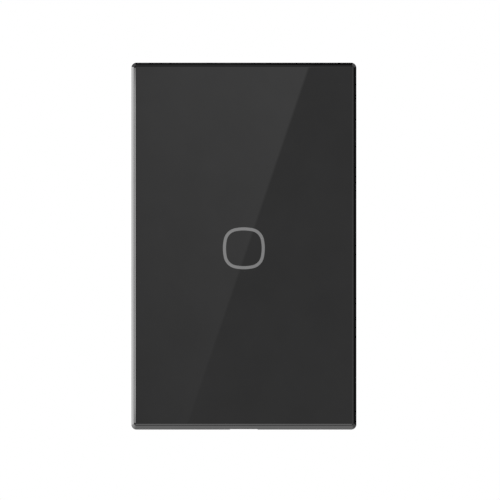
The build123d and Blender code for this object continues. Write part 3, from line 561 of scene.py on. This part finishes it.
# Circuit boards: the widths of tracks and vias are shares of their pitch
boardLook = {
    "lacquer": (0.006, 0.070, 0.030),
    "lacquerLight": (0.009, 0.090, 0.038),
    "lacquerTone": 5 * mm,
    "overCopper": (0.022, 0.165, 0.068),
    "rough": (0.4, 0.32),
    "copperDepth": 0.02 * mm,
    "tin": (0.62, 0.61, 0.56),
    "trackPitch": 1.27 * mm,
    "trackShare": 0.14,
    "trackEdge": 0.05,
    "laneShift": 0.37,
    "longRun": 8.3 * mm,
    "longShare": 0.42,
    "tallRun": 10.9 * mm,
    "tallShare": 0.30,
    "pourSize": 9 * mm,
    "pourEdge": (0.565, 0.57),
    "pourTone": 0.8,
    "viaPitch": 2.54 * mm,
    "viaRadius": (0.11, 0.14),
    "viaGaps": 0.8,
}


def randomCell(tree, first, second, offset):
    # one random number for each cell of a grid, from the whole numbers of its two places
    cell = addNode(tree, "ShaderNodeCombineXYZ", {}, {0: first, 1: second, 2: offset}).outputs[0]
    settings = {"noise_dimensions": "3D"}
    return addNode(tree, "ShaderNodeTexWhiteNoise", settings, {"Vector": cell}).outputs["Value"]


def trackRuns(tree, along, across, runLength, offset, share):
    # straight tracks side by side, each broken at random into runs
    look = boardLook
    lane = figure(tree, "DIVIDE", across, look["trackPitch"])
    laneNumber = figure(tree, "FLOOR", lane)
    shift = figure(tree, "MULTIPLY", laneNumber, look["laneShift"])
    run = figure(tree, "ADD", figure(tree, "DIVIDE", along, runLength), shift)
    chance = randomCell(tree, laneNumber, figure(tree, "FLOOR", run), offset)
    laid = figure(tree, "LESS_THAN", chance, share)
    off = figure(tree, "ABSOLUTE", figure(tree, "SUBTRACT", figure(tree, "FRACT", lane), 0.5))
    line = spread(tree, off, look["trackShare"], look["trackShare"] + look["trackEdge"], 1, 0)
    return figure(tree, "MULTIPLY", line, laid)


def boardVias(tree, x, z):
    # tinned dots in the middle of some cells of a square grid
    cells = [figure(tree, "DIVIDE", value, boardLook["viaPitch"]) for value in (x, z)]
    chance = randomCell(tree, *(figure(tree, "FLOOR", cell) for cell in cells), 7)
    laid = figure(tree, "GREATER_THAN", chance, boardLook["viaGaps"])
    off = [figure(tree, "SUBTRACT", figure(tree, "FRACT", cell), 0.5) for cell in cells]
    squares = [figure(tree, "MULTIPLY", value, value) for value in off]
    far = figure(tree, "SQRT", figure(tree, "ADD", *squares))
    return figure(tree, "MULTIPLY", spread(tree, far, *boardLook["viaRadius"], 1, 0), laid)


def circuitBoard():
    # green lacquer over copper tracks and poured areas, with tinned vias
    look = boardLook
    material, tree, place = newFinish("circuitBoard", {"Coat Weight": 0.3, "Coat Roughness": 0.15})
    axes = splitAxes(tree, place)
    x, z = axes["X"], axes["Z"]
    tracks = figure(tree, "MAXIMUM", trackRuns(tree, x, z, look["longRun"], 1, look["longShare"]),
                    trackRuns(tree, z, x, look["tallRun"], 2, look["tallShare"]))
    areas = cloud(tree, stretched(tree, place, (1, 0, 1)), look["pourSize"], 0)
    copper = figure(tree, "MAXIMUM", tracks, spread(tree, areas, *look["pourEdge"], 0, look["pourTone"]))
    tinned = boardVias(tree, x, z)
    tone = evened(tree, cloud(tree, place, look["lacquerTone"]))
    lacquer = blendColour(tree, tone, look["lacquer"], look["lacquerLight"])
    lacquer = blendColour(tree, copper, lacquer, look["overCopper"])
    return varied(material, {"Base Color": blendColour(tree, tinned, lacquer, look["tin"]),
                             "Metallic": tinned, "Roughness": spread(tree, copper, 0, 1, *look["rough"]),
                             "Normal": bumped(tree, copper, look["copperDepth"])})


tapeLook = {
    "cell": 0.35 * mm,
    "wall": (0.78, 0.78, 0.75),
    # the darker colour below is painted shade in the foam's open cells
    "hollowAndShade": (0.6, 0.6, 0.57),
    "depth": 0.05 * mm,
}
windingLook = {
    "wire": 0.3 * mm,
    "dark": (0.58, 0.22, 0.09),
    "light": (0.78, 0.36, 0.17),
    # the next colour is painted shade in the grooves between turns of wire
    "between": (0.12, 0.04, 0.02),
    "tone": 1.5 * mm,
    "rough": (0.5, 0.25),
    "depth": 0.06 * mm,
}
guideLook = {
    "dark": (0.84, 0.85, 0.84),
    "light": (0.93, 0.93, 0.92),
    "frost": 0.12 * mm,
    "rough": (0.42, 0.6),
    "depth": 0.008 * mm,
}
sleeveLook = {
    "dark": (0.012, 0.014, 0.03),
    "light": (0.02, 0.024, 0.05),
    "stripe": (0.5, 0.52, 0.55),
    "stripePitch": 8 * mm,
    "stripeEdge": (0.93, 0.95),
    "stripeTone": 0.8,
    "wrinkle": 1.2 * mm,
    "rough": (0.32, 0.42),
    "depth": 0.02 * mm,
}
bandPitch = 0.314  # metres from band to band in a wave texture of scale 1


def foamTape():
    # pale foam with open cells, with painted shade darkening their hollows
    look = tapeLook
    material, tree, place = newFinish("foamTape", {"Roughness": 0.85, "Specular IOR Level": 0.2})
    cells = addNode(tree, "ShaderNodeTexVoronoi", {}, {"Vector": place, "Scale": 1 / look["cell"]})
    hollowAndShade = cells.outputs["Distance"]
    # painted shade: the darker colour is laid by each point's distance from its cell's centre, and the same
    # distance gives the bump
    share = spread(tree, hollowAndShade, 0.1, 0.7, 0, 1)
    return varied(material, {"Base Color": blendColour(tree, share, look["wall"], look["hollowAndShade"]),
                             "Normal": bumped(tree, hollowAndShade, look["depth"])})


def woundCopper():
    # enamelled wire laid side by side, with painted shade in the grooves between turns
    look = windingLook
    material, tree, place = newFinish("woundCopper", {"Metallic": 1.0, "Coat Weight": 0.5})
    settings = {"wave_type": "BANDS", "bands_direction": "Z"}
    sockets = {"Vector": place, "Scale": bandPitch / look["wire"], "Distortion": 0.4, "Detail": 1.0}
    lay = addNode(tree, "ShaderNodeTexWave", settings, sockets).outputs["Fac"]
    tone = evened(tree, cloud(tree, place, look["tone"]))
    bright = blendColour(tree, tone, look["dark"], look["light"])
    # painted shade: the dark colour lies where the wave sinks, in the groove between one turn and the next
    colour = blendColour(tree, spread(tree, lay, 0, 0.5, 1, 0), bright, look["between"])
    return varied(material, {"Base Color": colour, "Roughness": spread(tree, lay, 0, 1, *look["rough"]),
                             "Normal": bumped(tree, lay, look["depth"])})


def frostedGuide():
    # milky clear plastic with a frosted face
    look = guideLook
    even = {"Subsurface Weight": 0.4, "Subsurface Scale": 2 * mm, "Subsurface Radius": (1.0, 1.0, 0.9),
            "IOR": 1.49}
    material, tree, place = newFinish("frostedGuide", even)
    frost = cloud(tree, place, look["frost"], 3)
    colour = blendColour(tree, evened(tree, frost), look["dark"], look["light"])
    return varied(material, {"Base Color": colour, "Roughness": evened(tree, frost, *look["rough"]),
                             "Normal": bumped(tree, frost, look["depth"])})


def sleevedCan():
    # shrink sleeve, dark with one pale stripe down its side, and duller toward its foot
    look = sleeveLook
    material, tree, place = newFinish("sleevedCan", {"Coat Weight": 0.3, "Coat Roughness": 0.2})
    settings = {"wave_type": "BANDS", "bands_direction": "X"}
    sockets = {"Vector": place, "Scale": bandPitch / look["stripePitch"]}
    stripe = addNode(tree, "ShaderNodeTexWave", settings, sockets).outputs["Fac"]
    pale = spread(tree, stripe, *look["stripeEdge"], 0, look["stripeTone"])
    wrinkle = cloud(tree, place, look["wrinkle"], 3)
    dark = blendColour(tree, evened(tree, wrinkle), look["dark"], look["light"])
    rough = spread(tree, splitAxes(tree, place)["Y"], 0, 20 * mm, *look["rough"])
    return varied(material, {"Base Color": blendColour(tree, pale, dark, look["stripe"]),
                             "Roughness": rough, "Normal": bumped(tree, wrinkle, look["depth"])})


plastics = {
    "base_plastic": {"colour": (0.030, 0.030, 0.032), "grain": 0.28 * mm, "depth": 0.02 * mm,
                     "rough": (0.48, 0.62), "speck": 0.4},
    "housing_plastic": {"colour": (0.74, 0.74, 0.71), "grain": 0.32 * mm, "depth": 0.02 * mm,
                        "rough": (0.42, 0.56), "tint": 0.03, "speck": 0.12},
    "terminal_plastic": {"colour": (0.10, 0.30, 0.17), "grain": 0.2 * mm, "depth": 0.012 * mm,
                         "rough": (0.36, 0.5), "tint": 0.08},
    "chip_black": {"colour": (0.022, 0.022, 0.023), "grain": 0.12 * mm, "depth": 0.012 * mm,
                   "rough": (0.5, 0.66)},
    "lamp_white": {"colour": (0.85, 0.78, 0.45), "grain": 0.15 * mm, "depth": 0.004 * mm,
                   "rough": (0.2, 0.3)},
    "relay_case": {"colour": (0.035, 0.11, 0.36), "grain": 0.35 * mm, "depth": 0.004 * mm,
                   "rough": (0.26, 0.36), "speck": 0.08},
    "bobbin_white": {"colour": (0.78, 0.77, 0.70), "grain": 0.2 * mm, "depth": 0.008 * mm,
                     "rough": (0.4, 0.52), "tint": 0.04},
    "ferrite": {"colour": (0.05, 0.05, 0.055), "grain": 0.18 * mm, "depth": 0.02 * mm,
                "rough": (0.55, 0.75), "speck": 0.5},
    "film_yellow": {"colour": (0.72, 0.45, 0.03), "grain": 0.5 * mm, "depth": 0.01 * mm,
                    "rough": (0.22, 0.34)},
    "varistor_blue": {"colour": (0.02, 0.09, 0.42), "grain": 0.9 * mm, "depth": 0.04 * mm,
                      "rough": (0.18, 0.3)},
    "part_tan": {"colour": (0.42, 0.29, 0.17), "grain": 0.1 * mm, "depth": 0.004 * mm,
                 "rough": (0.4, 0.5)},
    "fuse_brown": {"colour": (0.16, 0.06, 0.02), "grain": 0.9 * mm, "depth": 0.03 * mm,
                   "rough": (0.2, 0.32)},
}
metals = {
    "screw_steel": {"colour": (0.50, 0.49, 0.46), "streak": (1, 6, 1), "rough": (0.18, 0.30),
                    "depth": 0.004 * mm, "tarnish": (0.30, 0.285, 0.255), "tarnishShare": 0.4},
    "brass": {"colour": (0.82, 0.62, 0.28), "streak": (4, 1, 1), "rough": (0.22, 0.36),
              "depth": 0.004 * mm, "tarnish": (0.42, 0.27, 0.12), "tarnishShare": 0.5},
    "copper": {"colour": (0.80, 0.42, 0.26), "streak": (5, 1, 1), "rough": (0.24, 0.38),
               "depth": 0.004 * mm, "tarnish": (0.36, 0.16, 0.09), "tarnishShare": 0.5},
    "spring_steel": {"colour": (0.60, 0.58, 0.54), "streak": (1, 1, 1), "rough": (0.16, 0.26),
                     "depth": 0.002 * mm, "tarnish": (0.5, 0.47, 0.4), "tarnishShare": 0.3},
    "relay_iron": {"colour": (0.50, 0.50, 0.49), "streak": (1, 1, 6), "rough": (0.28, 0.42),
                   "depth": 0.004 * mm, "tarnish": (0.32, 0.30, 0.27), "tarnishShare": 0.4},
    "tinned_end": {"colour": (0.60, 0.60, 0.58), "streak": (1, 1, 1), "rough": (0.24, 0.4),
                   "depth": 0.006 * mm, "tarnish": (0.42, 0.41, 0.39), "tarnishShare": 0.4},
    "gold_pad": {"colour": (0.86, 0.62, 0.24), "streak": (1, 1, 1), "rough": (0.22, 0.32),
                 "depth": 0.003 * mm, "tarnish": (0.62, 0.42, 0.16), "tarnishShare": 0.3},
}
finishes = {name: mouldedPlastic(name, look) for name, look in plastics.items()}
finishes.update({name: drawnMetal(name, look) for name, look in metals.items()})
finishes.update({
    "black_glass": inkedGlass(),
    "black_print": inkBehindGlass(),
    "ring_white": printedRing("ringInk", {"Roughness": 0.6, "Specular IOR Level": 0.0}),
    "ring_face": printedRing("ringUnderGloss", {"Roughness": 0.0, "IOR": 1.5}),
    "frame_gloss": glossFrame(),
    "plate_steel": galvanisedSheet(),
    "board": circuitBoard(),
    "tape": foamTape(),
    "diffuser": frostedGuide(),
    "can_black": sleevedCan(),
    "winding": woundCopper(),
})

slotOfNode = {part["node"]: part["material_slot"] for part in frame["record"]["subparts"]}
for nodeName, node in nodes.items():
    node.data.materials.clear()
    node.data.materials.append(finishes[slotOfNode[nodeName]])
nodes["transformer_winding"].data.materials[0] = finishes["winding"]
print("finishes on", len(slotOfNode), "nodes")


# Glass: black ink covers its whole back but for the touch ring. The slab is drawn black right up
# to its polished front, with a ground slope round it, and the ring is let in flush.
glassShape = {
    "cornerRadius": 0.8 * mm,
    "leastRadius": 0.05 * mm,
    "arrisWidth": 0.5 * mm,
    "arrisDepth": 0.11 * mm,
    "arrisRound": 0.10 * mm,
    "arrisRoundDepth": 0.012 * mm,
    "backInset": 0.12 * mm,
    "intoInk": 0.02 * mm,
    "cornerSteps": 16,
    "roundSteps": 5,
    "sharp": 5,
}


def roundedOutline(low, high, inset, depth):
    # Each corner is a quarter circle. A larger inset draws the outline in and shrinks its corners.
    steps = glassShape["cornerSteps"]
    radius = max(glassShape["cornerRadius"] - inset, glassShape["leastRadius"])
    angle = np.concatenate([np.linspace(q, q + np.pi / 2, steps) for q in np.arange(4) * np.pi / 2])
    middleX, middleZ = (low.x + high.x) / 2, (low.z + high.z) / 2
    reachX = (high.x - low.x) / 2 - inset - radius
    reachZ = (high.z - low.z) / 2 - inset - radius
    signX = np.repeat([1, -1, -1, 1], steps)
    signZ = np.repeat([1, 1, -1, -1], steps)
    x = middleX + signX * reachX + radius * np.cos(angle)
    z = middleZ + signZ * reachZ + radius * np.sin(angle)
    return np.stack([x, np.full_like(x, depth), z], -1)


def glassSlab():
    # Rings of the outline run from the back, round the slab and over the ground slope to the flat
    # front. The slope meets the front in a small parabola. One face closes each end.
    look = glassShape
    front, behind = glassLow.y, glassHigh.y + look["intoInk"]
    roundWidth, roundDepth = look["arrisRound"], look["arrisRoundDepth"]
    roundStart = look["arrisWidth"] - roundWidth
    profile = [(look["backInset"], behind), (0, behind - look["backInset"]), (0, front + look["arrisDepth"])]
    profile += [(roundStart + roundWidth * share, front + roundDepth * (1 - share) ** 2)
                for share in np.linspace(0, 1, look["roundSteps"])]
    profile += [(look["arrisWidth"] + roundWidth, front)]  # keeps the front's shading flat
    rows = np.stack([roundedOutline(glassLow, glassHigh, inset, depth) for inset, depth in profile])
    rowCount, columnCount = rows.shape[:2]
    faces = gridFaces(rowCount, columnCount).tolist()
    ring = np.arange(columnCount)
    faces += [ring.tolist(), ((rowCount - 1) * columnCount + ring[::-1]).tolist()]
    slab = placePiece("glass_slab", rows, faces, "black_glass", "front_panel", sharp=look["sharp"])
    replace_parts(slab, "glass_panel")


ringShape = {
    "stroke": 1.0 * mm,
    "printMargin": 0.5 * mm,
    "cornerRadius": 4.17 * mm,
    "cornerPlace": 1.97 * mm,
    "proud": 0.006 * mm,
    "sunk": 0.2 * mm,
    "sideSteps": 13,
    "cornerSteps": 17,
}


def ringOutline(centre, half, grow, depth):
    # Each quarter has a bowed side and a round corner that meets it smoothly: the side's circle is
    # as wide as makes it touch the corner's circle from within. Grow moves the line outward.
    look = ringShape
    place, cornerRadius = look["cornerPlace"], look["cornerRadius"]
    bow = place - half
    sideRadius = (cornerRadius**2 - bow**2 - place**2) / (2 * (bow + cornerRadius))
    reach = np.arctan2(place, bow + sideRadius)
    side = np.linspace(-reach, reach, look["sideSteps"])
    corner = np.linspace(reach, np.pi / 2 - reach, look["cornerSteps"])[1:-1]
    x = np.concatenate([half - sideRadius + (sideRadius + grow) * np.cos(side),
                        place + (cornerRadius + grow) * np.cos(corner)])
    z = np.concatenate([(sideRadius + grow) * np.sin(side), place + (cornerRadius + grow) * np.sin(corner)])
    quarter = np.arange(4)[:, None] * np.pi / 2
    acrossFace = (x * np.cos(quarter) - z * np.sin(quarter)).ravel()
    upFace = (x * np.sin(quarter) + z * np.cos(quarter)).ravel()
    return np.stack([centre.x + acrossFace, np.full_like(upFace, depth), centre.z + upFace], -1)


def touchRing():
    # The four corners of the stroke's cross-section are each carried round the ring's line.
    look = ringShape
    low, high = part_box("ring_print")
    half = (high.x - low.x) / 2 - look["stroke"] / 2 - look["printMargin"]
    edge, above, under = look["stroke"] / 2, glassLow.y - look["proud"], glassLow.y + look["sunk"]
    profile = [(-edge, under), (-edge, above), (edge, above), (edge, under)]
    rows = np.stack([ringOutline((low + high) / 2, half, grow, depth) for grow, depth in profile])
    ringTurning("touch_ring", rows, "ring_white", "front_panel", "ring_face")


glassSlab()
touchRing()
print("glass and touch ring made")


# Mounting screws: pan head with a cross recess, neck and a rolled thread. runIn and runOut give
# where the thread starts to rise or ends, from the neck or the point, and over what length.
screwLook = {
    "headHeight": 2.0 * mm,
    "headRound": 0.55 * mm,
    "headDome": 0.35 * mm,
    "neckRadius": 1.4 * mm,
    "neckLength": 2.0 * mm,
    "neckFillet": 0.2 * mm,
    "rootRadius": 1.38 * mm,
    "crestRadius": 1.75 * mm,
    "pitch": 0.6 * mm,
    "threadGap": 0.02 * mm,
    "threadSteepness": 1.35,
    "threadSink": 0.15,
    "runIn": (0.4 * mm, 0.8 * mm),
    "runOut": (0.5 * mm, 0.9 * mm),
    "pointLength": 1.2 * mm,
    "pointRadius": 0.9 * mm,
    "tipInset": 0.2 * mm,
    "tipLength": 0.1 * mm,
    "recessArm": 2.1 * mm,
    "recessArmSoft": 0.3 * mm,
    "recessHalf": 0.42 * mm,
    "recessHalfSoft": 0.16 * mm,
    "recessDepth": 1.15 * mm,
    "faceSteps": 46,
    "edgeSteps": 9,
    "stepsPerPitch": 8,
    "columns": 96,
}


def mountingScrew(nodeName):
    # Radius and depth run from the middle of the head, over its round edge, down the neck and
    # along the shank to the point. The thread adds a flat-topped wave of depth minus pitch times
    # turn to the radius. The recess pushes the head's face in where a cross covers it.
    look = screwLook
    low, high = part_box(nodeName)
    centre = (low + high) / 2
    length, headHeight, headRadius = high.y - low.y, look["headHeight"], (high.x - low.x) / 2
    faceEnd = headRadius - look["headRound"]
    faceRadius = np.linspace(0, faceEnd, look["faceSteps"])
    faceDepth = look["headDome"] * (faceRadius / headRadius) ** 2
    turn = np.linspace(0, np.pi / 2, look["edgeSteps"])[1:]
    neckRadius, neckEnd = look["neckRadius"], headHeight + look["neckLength"]
    threadEnd = length - look["pointLength"]
    threadDepth = np.arange(neckEnd + look["threadGap"], threadEnd, look["pitch"] / look["stepsPerPitch"])
    radius = np.concatenate([
        faceRadius,
        faceEnd + look["headRound"] * np.sin(turn),
        [headRadius, neckRadius + look["neckFillet"], neckRadius, neckRadius],
        np.full(len(threadDepth), look["rootRadius"]),
        [look["pointRadius"], look["pointRadius"] - look["tipInset"], 0],
    ])
    depth = np.concatenate([
        faceDepth,
        faceDepth[-1] + look["headRound"] * (1 - np.cos(turn)),
        [headHeight, headHeight, headHeight + look["neckFillet"], neckEnd],
        threadDepth,
        [length - look["tipLength"], length, length],
    ])
    rows = turned(radius, low.y + depth, centre, look["columns"])

    angle = np.linspace(0, 2 * np.pi, look["columns"], endpoint=False)
    along = depth[:, None]
    phase = (along / look["pitch"] - angle / (2 * np.pi)) % 1
    wave = look["threadSteepness"] * (1 - 2 * np.abs(phase - 0.5)) - look["threadSink"]
    (riseStart, riseLength), (fallStart, fallLength) = look["runIn"], look["runOut"]
    wave = np.clip(wave, 0, 1) * stepped(along - neckEnd - riseStart, riseLength)
    wave = wave * stepped(threadEnd - fallStart - along, fallLength)
    onThread = (along > neckEnd) & (along < threadEnd)
    grow = np.where(onThread, wave * (look["crestRadius"] - look["rootRadius"]), 0)
    rows[..., 0] += grow * np.cos(angle)
    rows[..., 2] += grow * np.sin(angle)

    x, z = rows[..., 0] - centre.x, rows[..., 2] - centre.z
    arms = [stepped(look["recessHalf"] - np.abs(a), look["recessHalfSoft"])
            * stepped(look["recessArm"] - np.abs(b), look["recessArmSoft"]) for a, b in ((x, z), (z, x))]
    onFace = (np.arange(len(depth)) < look["faceSteps"])[:, None]
    rows[..., 1] += np.where(onFace, np.maximum(*arms), 0) * look["recessDepth"]
    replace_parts(closedTurning(nodeName + "_threaded", rows, "screw_steel", nodeName), nodeName)


for screwName in ("mounting_screw_upper", "mounting_screw_lower"):
    mountingScrew(screwName)
print("mounting screws made")


# Touch spring: round wire wound between the touch board and the back of the ring print. Its ends
# lie flat over flatShare of its length.
springLook = {"wireRadius": 0.25 * mm, "turns": 5, "flatShare": 0.12, "sides": 12, "stepsPerTurn": 40}


def touchSpring():
    # The centreline is a helix, and the wire's circle stands square to it: one arm points away
    # from the axis, and the other is square to that arm and to the helix.
    look = springLook
    low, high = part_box("touch_spring")
    centre = (low + high) / 2
    wireRadius = look["wireRadius"]
    helixRadius = (high.x - low.x) / 2 - wireRadius
    steps = look["turns"] * look["stepsPerTurn"] + 1
    turn = np.linspace(0, 2 * np.pi * look["turns"], steps)
    share = (np.linspace(0, 1, steps) - look["flatShare"]) / (1 - 2 * look["flatShare"])
    rise = (high.y - low.y - 2 * wireRadius) * np.clip(share, 0, 1)
    line = np.stack([centre.x + helixRadius * np.cos(turn), low.y + wireRadius + rise,
                     centre.z + helixRadius * np.sin(turn)], -1)
    tangent = np.gradient(line, axis=0)
    tangent /= np.linalg.norm(tangent, axis=1)[:, None]
    outward = np.stack([np.cos(turn), 0 * turn, np.sin(turn)], -1)
    across = np.cross(tangent, outward)
    angle = np.linspace(0, 2 * np.pi, look["sides"], endpoint=False)[None, :, None]
    wire = line[:, None] + wireRadius * (np.cos(angle) * outward[:, None] + np.sin(angle) * across[:, None])
    starts, ends = (np.repeat(line[None, end:end + 1], look["sides"], 1) for end in (0, steps - 1))
    rows = np.concatenate([starts, wire, ends])
    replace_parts(closedTurning("touch_spring_wire", rows, "spring_steel", "base"), "touch_spring")


touchSpring()


# Windings: layers of wire drawn as ridges along the coil. The relay's coil is as wide as its node,
# and the choke's lies between two flanges.
coilShapes = {
    "relay_coil_wire": {"node": "relay_coil", "flange": 0.0, "inner": 2.65 * mm, "pitch": 0.36 * mm},
    "choke_wire": {"node": "choke", "flange": 1.15 * mm, "outer": 2.5 * mm, "inner": 1.62 * mm,
                   "pitch": 0.42 * mm},
}
coilSteps = {"perTurn": 8, "round": 64, "endGap": 0.1}


def ridgedCoil(name, look):
    # The outer radius is lowered by a row of round ridges, one for each turn of the wire.
    low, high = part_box(look["node"])
    outer = look.get("outer", (high.x - low.x) / 2)
    flange = Vector((0, look["flange"], 0))
    low, high = low + flange, high - flange
    pitch, inner, gap = look["pitch"], look["inner"], look["pitch"] * coilSteps["endGap"]
    along = np.arange(low.y + gap, high.y - gap, pitch / coilSteps["perTurn"])
    ridge = np.sqrt(np.clip(1 - (2 * (((along - low.y) / pitch) % 1) - 1) ** 2, 0, 1))
    radius = np.concatenate([[inner], outer - pitch / 2 * (1 - ridge), [inner]])
    along = np.concatenate([along[:1], along, along[-1:]])
    rows = turned(radius, along, (low + high) / 2, coilSteps["round"])
    return ringTurning(name, rows, "copper", "base")


coils = {name: ridgedCoil(name, look) for name, look in coilShapes.items()}
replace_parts(coils["relay_coil_wire"], "relay_coil")
print("spring and windings made")


# Small parts on the touch board: resistors, capacitors, the gold pad under the spring and solder.
# The places are millimetres across and up, from the middle of the plate.
smallParts = {
    "length": 2.0 * mm,
    "width": 1.25 * mm,
    "resistorHeight": 0.5 * mm,
    "capacitorHeight": 0.8 * mm,
    "endShare": 0.22,
    "endSwell": 0.02 * mm,
    "squareness": 0.16,
    "firstTurn": 0.01,
    "columns": 28,
    "rows": 15,
    "sharp": 40,
    "resistors": [(-13, -3.5), (-13, -6.1), (-13, -8.7), (-13, -11.3), (-9.6, -11.3), (-9.6, -13.9),
                  (8, 14), (8, 16.6), (8, 19.2), (12.5, 16.6)],
    "capacitors": [(-13, 3.5), (-13, 6.1), (12.5, -6.1), (12.5, -8.7), (12.5, 19.2), (-6.5, 17.5),
                   (8.8, -14)],
}
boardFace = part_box("touch_board")[0].y
intoBoard = 0.02 * mm


def softBricks(centres, half):
    # A box whose edges are a little round, at each centre. A circle that is drawn in toward a
    # square, by raising sine and cosine to a small power, is carried over a second such curve.
    look = smallParts
    turn = np.linspace(0, 2 * np.pi, look["columns"], endpoint=False) + look["firstTurn"]
    tilt = np.linspace(-np.pi / 2, np.pi / 2, look["rows"])

    def squared(value):
        return np.sign(value) * np.abs(value) ** look["squareness"]

    across = squared(np.cos(tilt))[:, None]
    x = half[0] * across * squared(np.cos(turn))
    z = half[2] * across * squared(np.sin(turn))
    y = half[1] * squared(np.sin(tilt))[:, None] + 0 * x
    return np.asarray(centres)[:, None, None, :] + np.stack([x, y, z], -1)


def brickPiece(name, centres, half, slotName, finish=None):
    # all bricks of one kind in one mesh, each closed by a face on its first and its last row
    points = softBricks(centres, half)
    count, rows, columns = points.shape[:3]
    start = np.arange(count)[:, None, None] * rows * columns
    faces = (gridFaces(rows, columns)[None] + start).reshape(-1, 4).tolist()
    ring = np.arange(columns)
    for first in range(count):
        faces.append((ring + first * rows * columns).tolist())
        faces.append((ring[::-1] + first * rows * columns + (rows - 1) * columns).tolist())
    placePiece(name, points, faces, slotName, "base", finish, smallParts["sharp"])


def chipParts(name, places, height, slotName, finish=None):
    # a body at each place, and a tinned cap that swells a little over each of its ends
    look = smallParts
    length, width, swell = look["length"], look["width"], look["endSwell"]
    centres = np.array([(x * mm, boardFace - height / 2, z * mm) for x, z in places])
    brickPiece(name, centres, (length / 2, height / 2, width / 2), slotName, finish)
    end = length * look["endShare"] / 2
    reach = np.array([length / 2 - end + swell, 0, 0])
    ends = np.concatenate([centres - reach, centres + reach])
    half = (end, height / 2 + swell, width / 2 + swell)
    brickPiece(name + "_ends", ends, half, "screw_steel", "tinned_end")


chipParts("touch_resistors", smallParts["resistors"], smallParts["resistorHeight"], "chip_black")
chipParts("touch_capacitors", smallParts["capacitors"], smallParts["capacitorHeight"], "bobbin_white",
          "part_tan")

sensorPad = {"inner": 2.5 * mm, "outer": 5.1 * mm, "thick": 0.035 * mm, "columns": 96}


def goldPad():
    # a flat ring that the spring stands on: a rectangle turned round the spring's axis
    look = sensorPad
    springLow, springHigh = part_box("touch_spring")
    top, foot = boardFace - look["thick"], boardFace + intoBoard
    radius = [look["inner"], look["inner"], look["outer"], look["outer"]]
    rows = turned(radius, [foot, top, top, foot], (springLow + springHigh) / 2, look["columns"])
    ringTurning("sensor_pad", rows, "brass", "base", "gold_pad")


solder = {
    "pinRadius": 0.3 * mm,
    "footRadius": 0.85 * mm,
    "height": 0.75 * mm,
    "hollowness": 2.2,
    "pinCount": 4,
    "pinPitch": 2.54 * mm,
    "rows": 9,
    "columns": 24,
}


def solderJoints():
    # Round each pin of the link: the radius falls from foot to pin along a hollow curve.
    look = solder
    pinLow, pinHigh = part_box("link_pins")
    middle = (pinLow + pinHigh) / 2
    share = np.linspace(0, 1, look["rows"])
    swell = (look["footRadius"] - look["pinRadius"]) * (1 - share) ** look["hollowness"]
    radius = np.concatenate([[0], look["pinRadius"] + swell, [0]])
    depth = boardFace + intoBoard - share * look["height"]
    depth = np.concatenate([depth[:1], depth, depth[-1:]])
    for index in range(look["pinCount"]):
        offset = (index - (look["pinCount"] - 1) / 2) * look["pinPitch"]
        rows = turned(radius, depth, Vector((middle.x, 0, middle.z + offset)), look["columns"])
        closedTurning(f"link_solder_{index + 1}", rows, "screw_steel", "base", "tinned_end")


goldPad()
solderJoints()


# Can tops: bright discs with a cross pressed in, where the sleeve leaves the can bare
canTop = {
    "sleeveLip": 0.55 * mm,
    "proud": 0.06 * mm,
    "sunk": 0.1 * mm,
    "groove": 0.05 * mm,
    "grooveHalf": 0.22 * mm,
    "grooveSoft": 0.1 * mm,
    "crossShare": 0.7,
    "crossEndSoft": 0.3 * mm,
    "faceSteps": 40,
    "columns": 96,
}


def canTopDisc(nodeName):
    # The radius runs out from the middle and over the rim, and the cross pulls the face back.
    look = canTop
    low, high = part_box(nodeName)
    centre = (low + high) / 2
    outer, steps = (high.x - low.x) / 2 - look["sleeveLip"], look["faceSteps"]
    radius = np.concatenate([np.linspace(0, outer, steps), [outer, 0]])
    depth = np.concatenate([np.full(steps, low.y - look["proud"]), np.full(2, low.y + look["sunk"])])
    rows = turned(radius, depth, centre, look["columns"])
    x, z = rows[..., 0] - centre.x, rows[..., 2] - centre.z
    inReach = stepped(outer * look["crossShare"] - np.hypot(x, z), look["crossEndSoft"])
    cross = np.maximum(*(stepped(look["grooveHalf"] - np.abs(off), look["grooveSoft"]) for off in (x, z)))
    onFace = (np.arange(len(depth)) < steps)[:, None]
    rows[..., 1] += np.where(onFace, cross * inReach, 0) * look["groove"]
    closedTurning(nodeName + "_top", rows, "screw_steel", "base", "tinned_end")


for canName in ("smoothing_capacitor", "output_capacitor"):
    canTopDisc(canName)
print("small parts made")


# Plain numbers beside the wire holes, read from behind. A figure is figureShare of the text's size.
marks = {
    "height": 2.6 * mm,
    "figureShare": 0.7,
    "below": 5.2 * mm,
    "proud": 0.04 * mm,
    "sunk": 0.1 * mm,
    "curveSteps": 6,
}
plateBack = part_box("wire_plate")[1].y
wireMounts = [mount for mount in frame["record"]["mounts"] if mount["name"].startswith("wire_entry")]


def wireNumber(number, place):
    # The figure is a raised flat letter form, turned to face backward and set below its wire hole.
    curve = bpy.data.curves.new("wireNumber", "FONT")
    curve.body = str(number)
    curve.size = marks["height"] / marks["figureShare"]
    curve.align_x = "CENTER"
    curve.align_y = "CENTER"
    curve.extrude = (marks["proud"] + marks["sunk"]) / 2
    curve.resolution_u = marks["curveSteps"]
    text = bpy.data.objects.new("wireNumber", curve)
    bpy.context.scene.collection.objects.link(text)
    bpy.context.view_layer.update()
    mesh = bpy.data.meshes.new_from_object(text.evaluated_get(bpy.context.evaluated_depsgraph_get()))
    bpy.data.objects.remove(text)
    facing = Matrix(((-1, 0, 0, 0), (0, 0, 1, 0), (0, 1, 0, 0), (0, 0, 0, 1)))
    middle = plateBack + (marks["proud"] - marks["sunk"]) / 2
    spot = Vector((place.x, middle, place.z - marks["below"]))
    mesh.transform(Matrix.Translation(spot) @ facing)
    showPiece(f"wire_number_{number}", mesh, "bobbin_white", "base")


for index, mount in enumerate(wireMounts, 1):
    wireNumber(index, Vector(mount["pos_m"]))
print("wire numbers made")
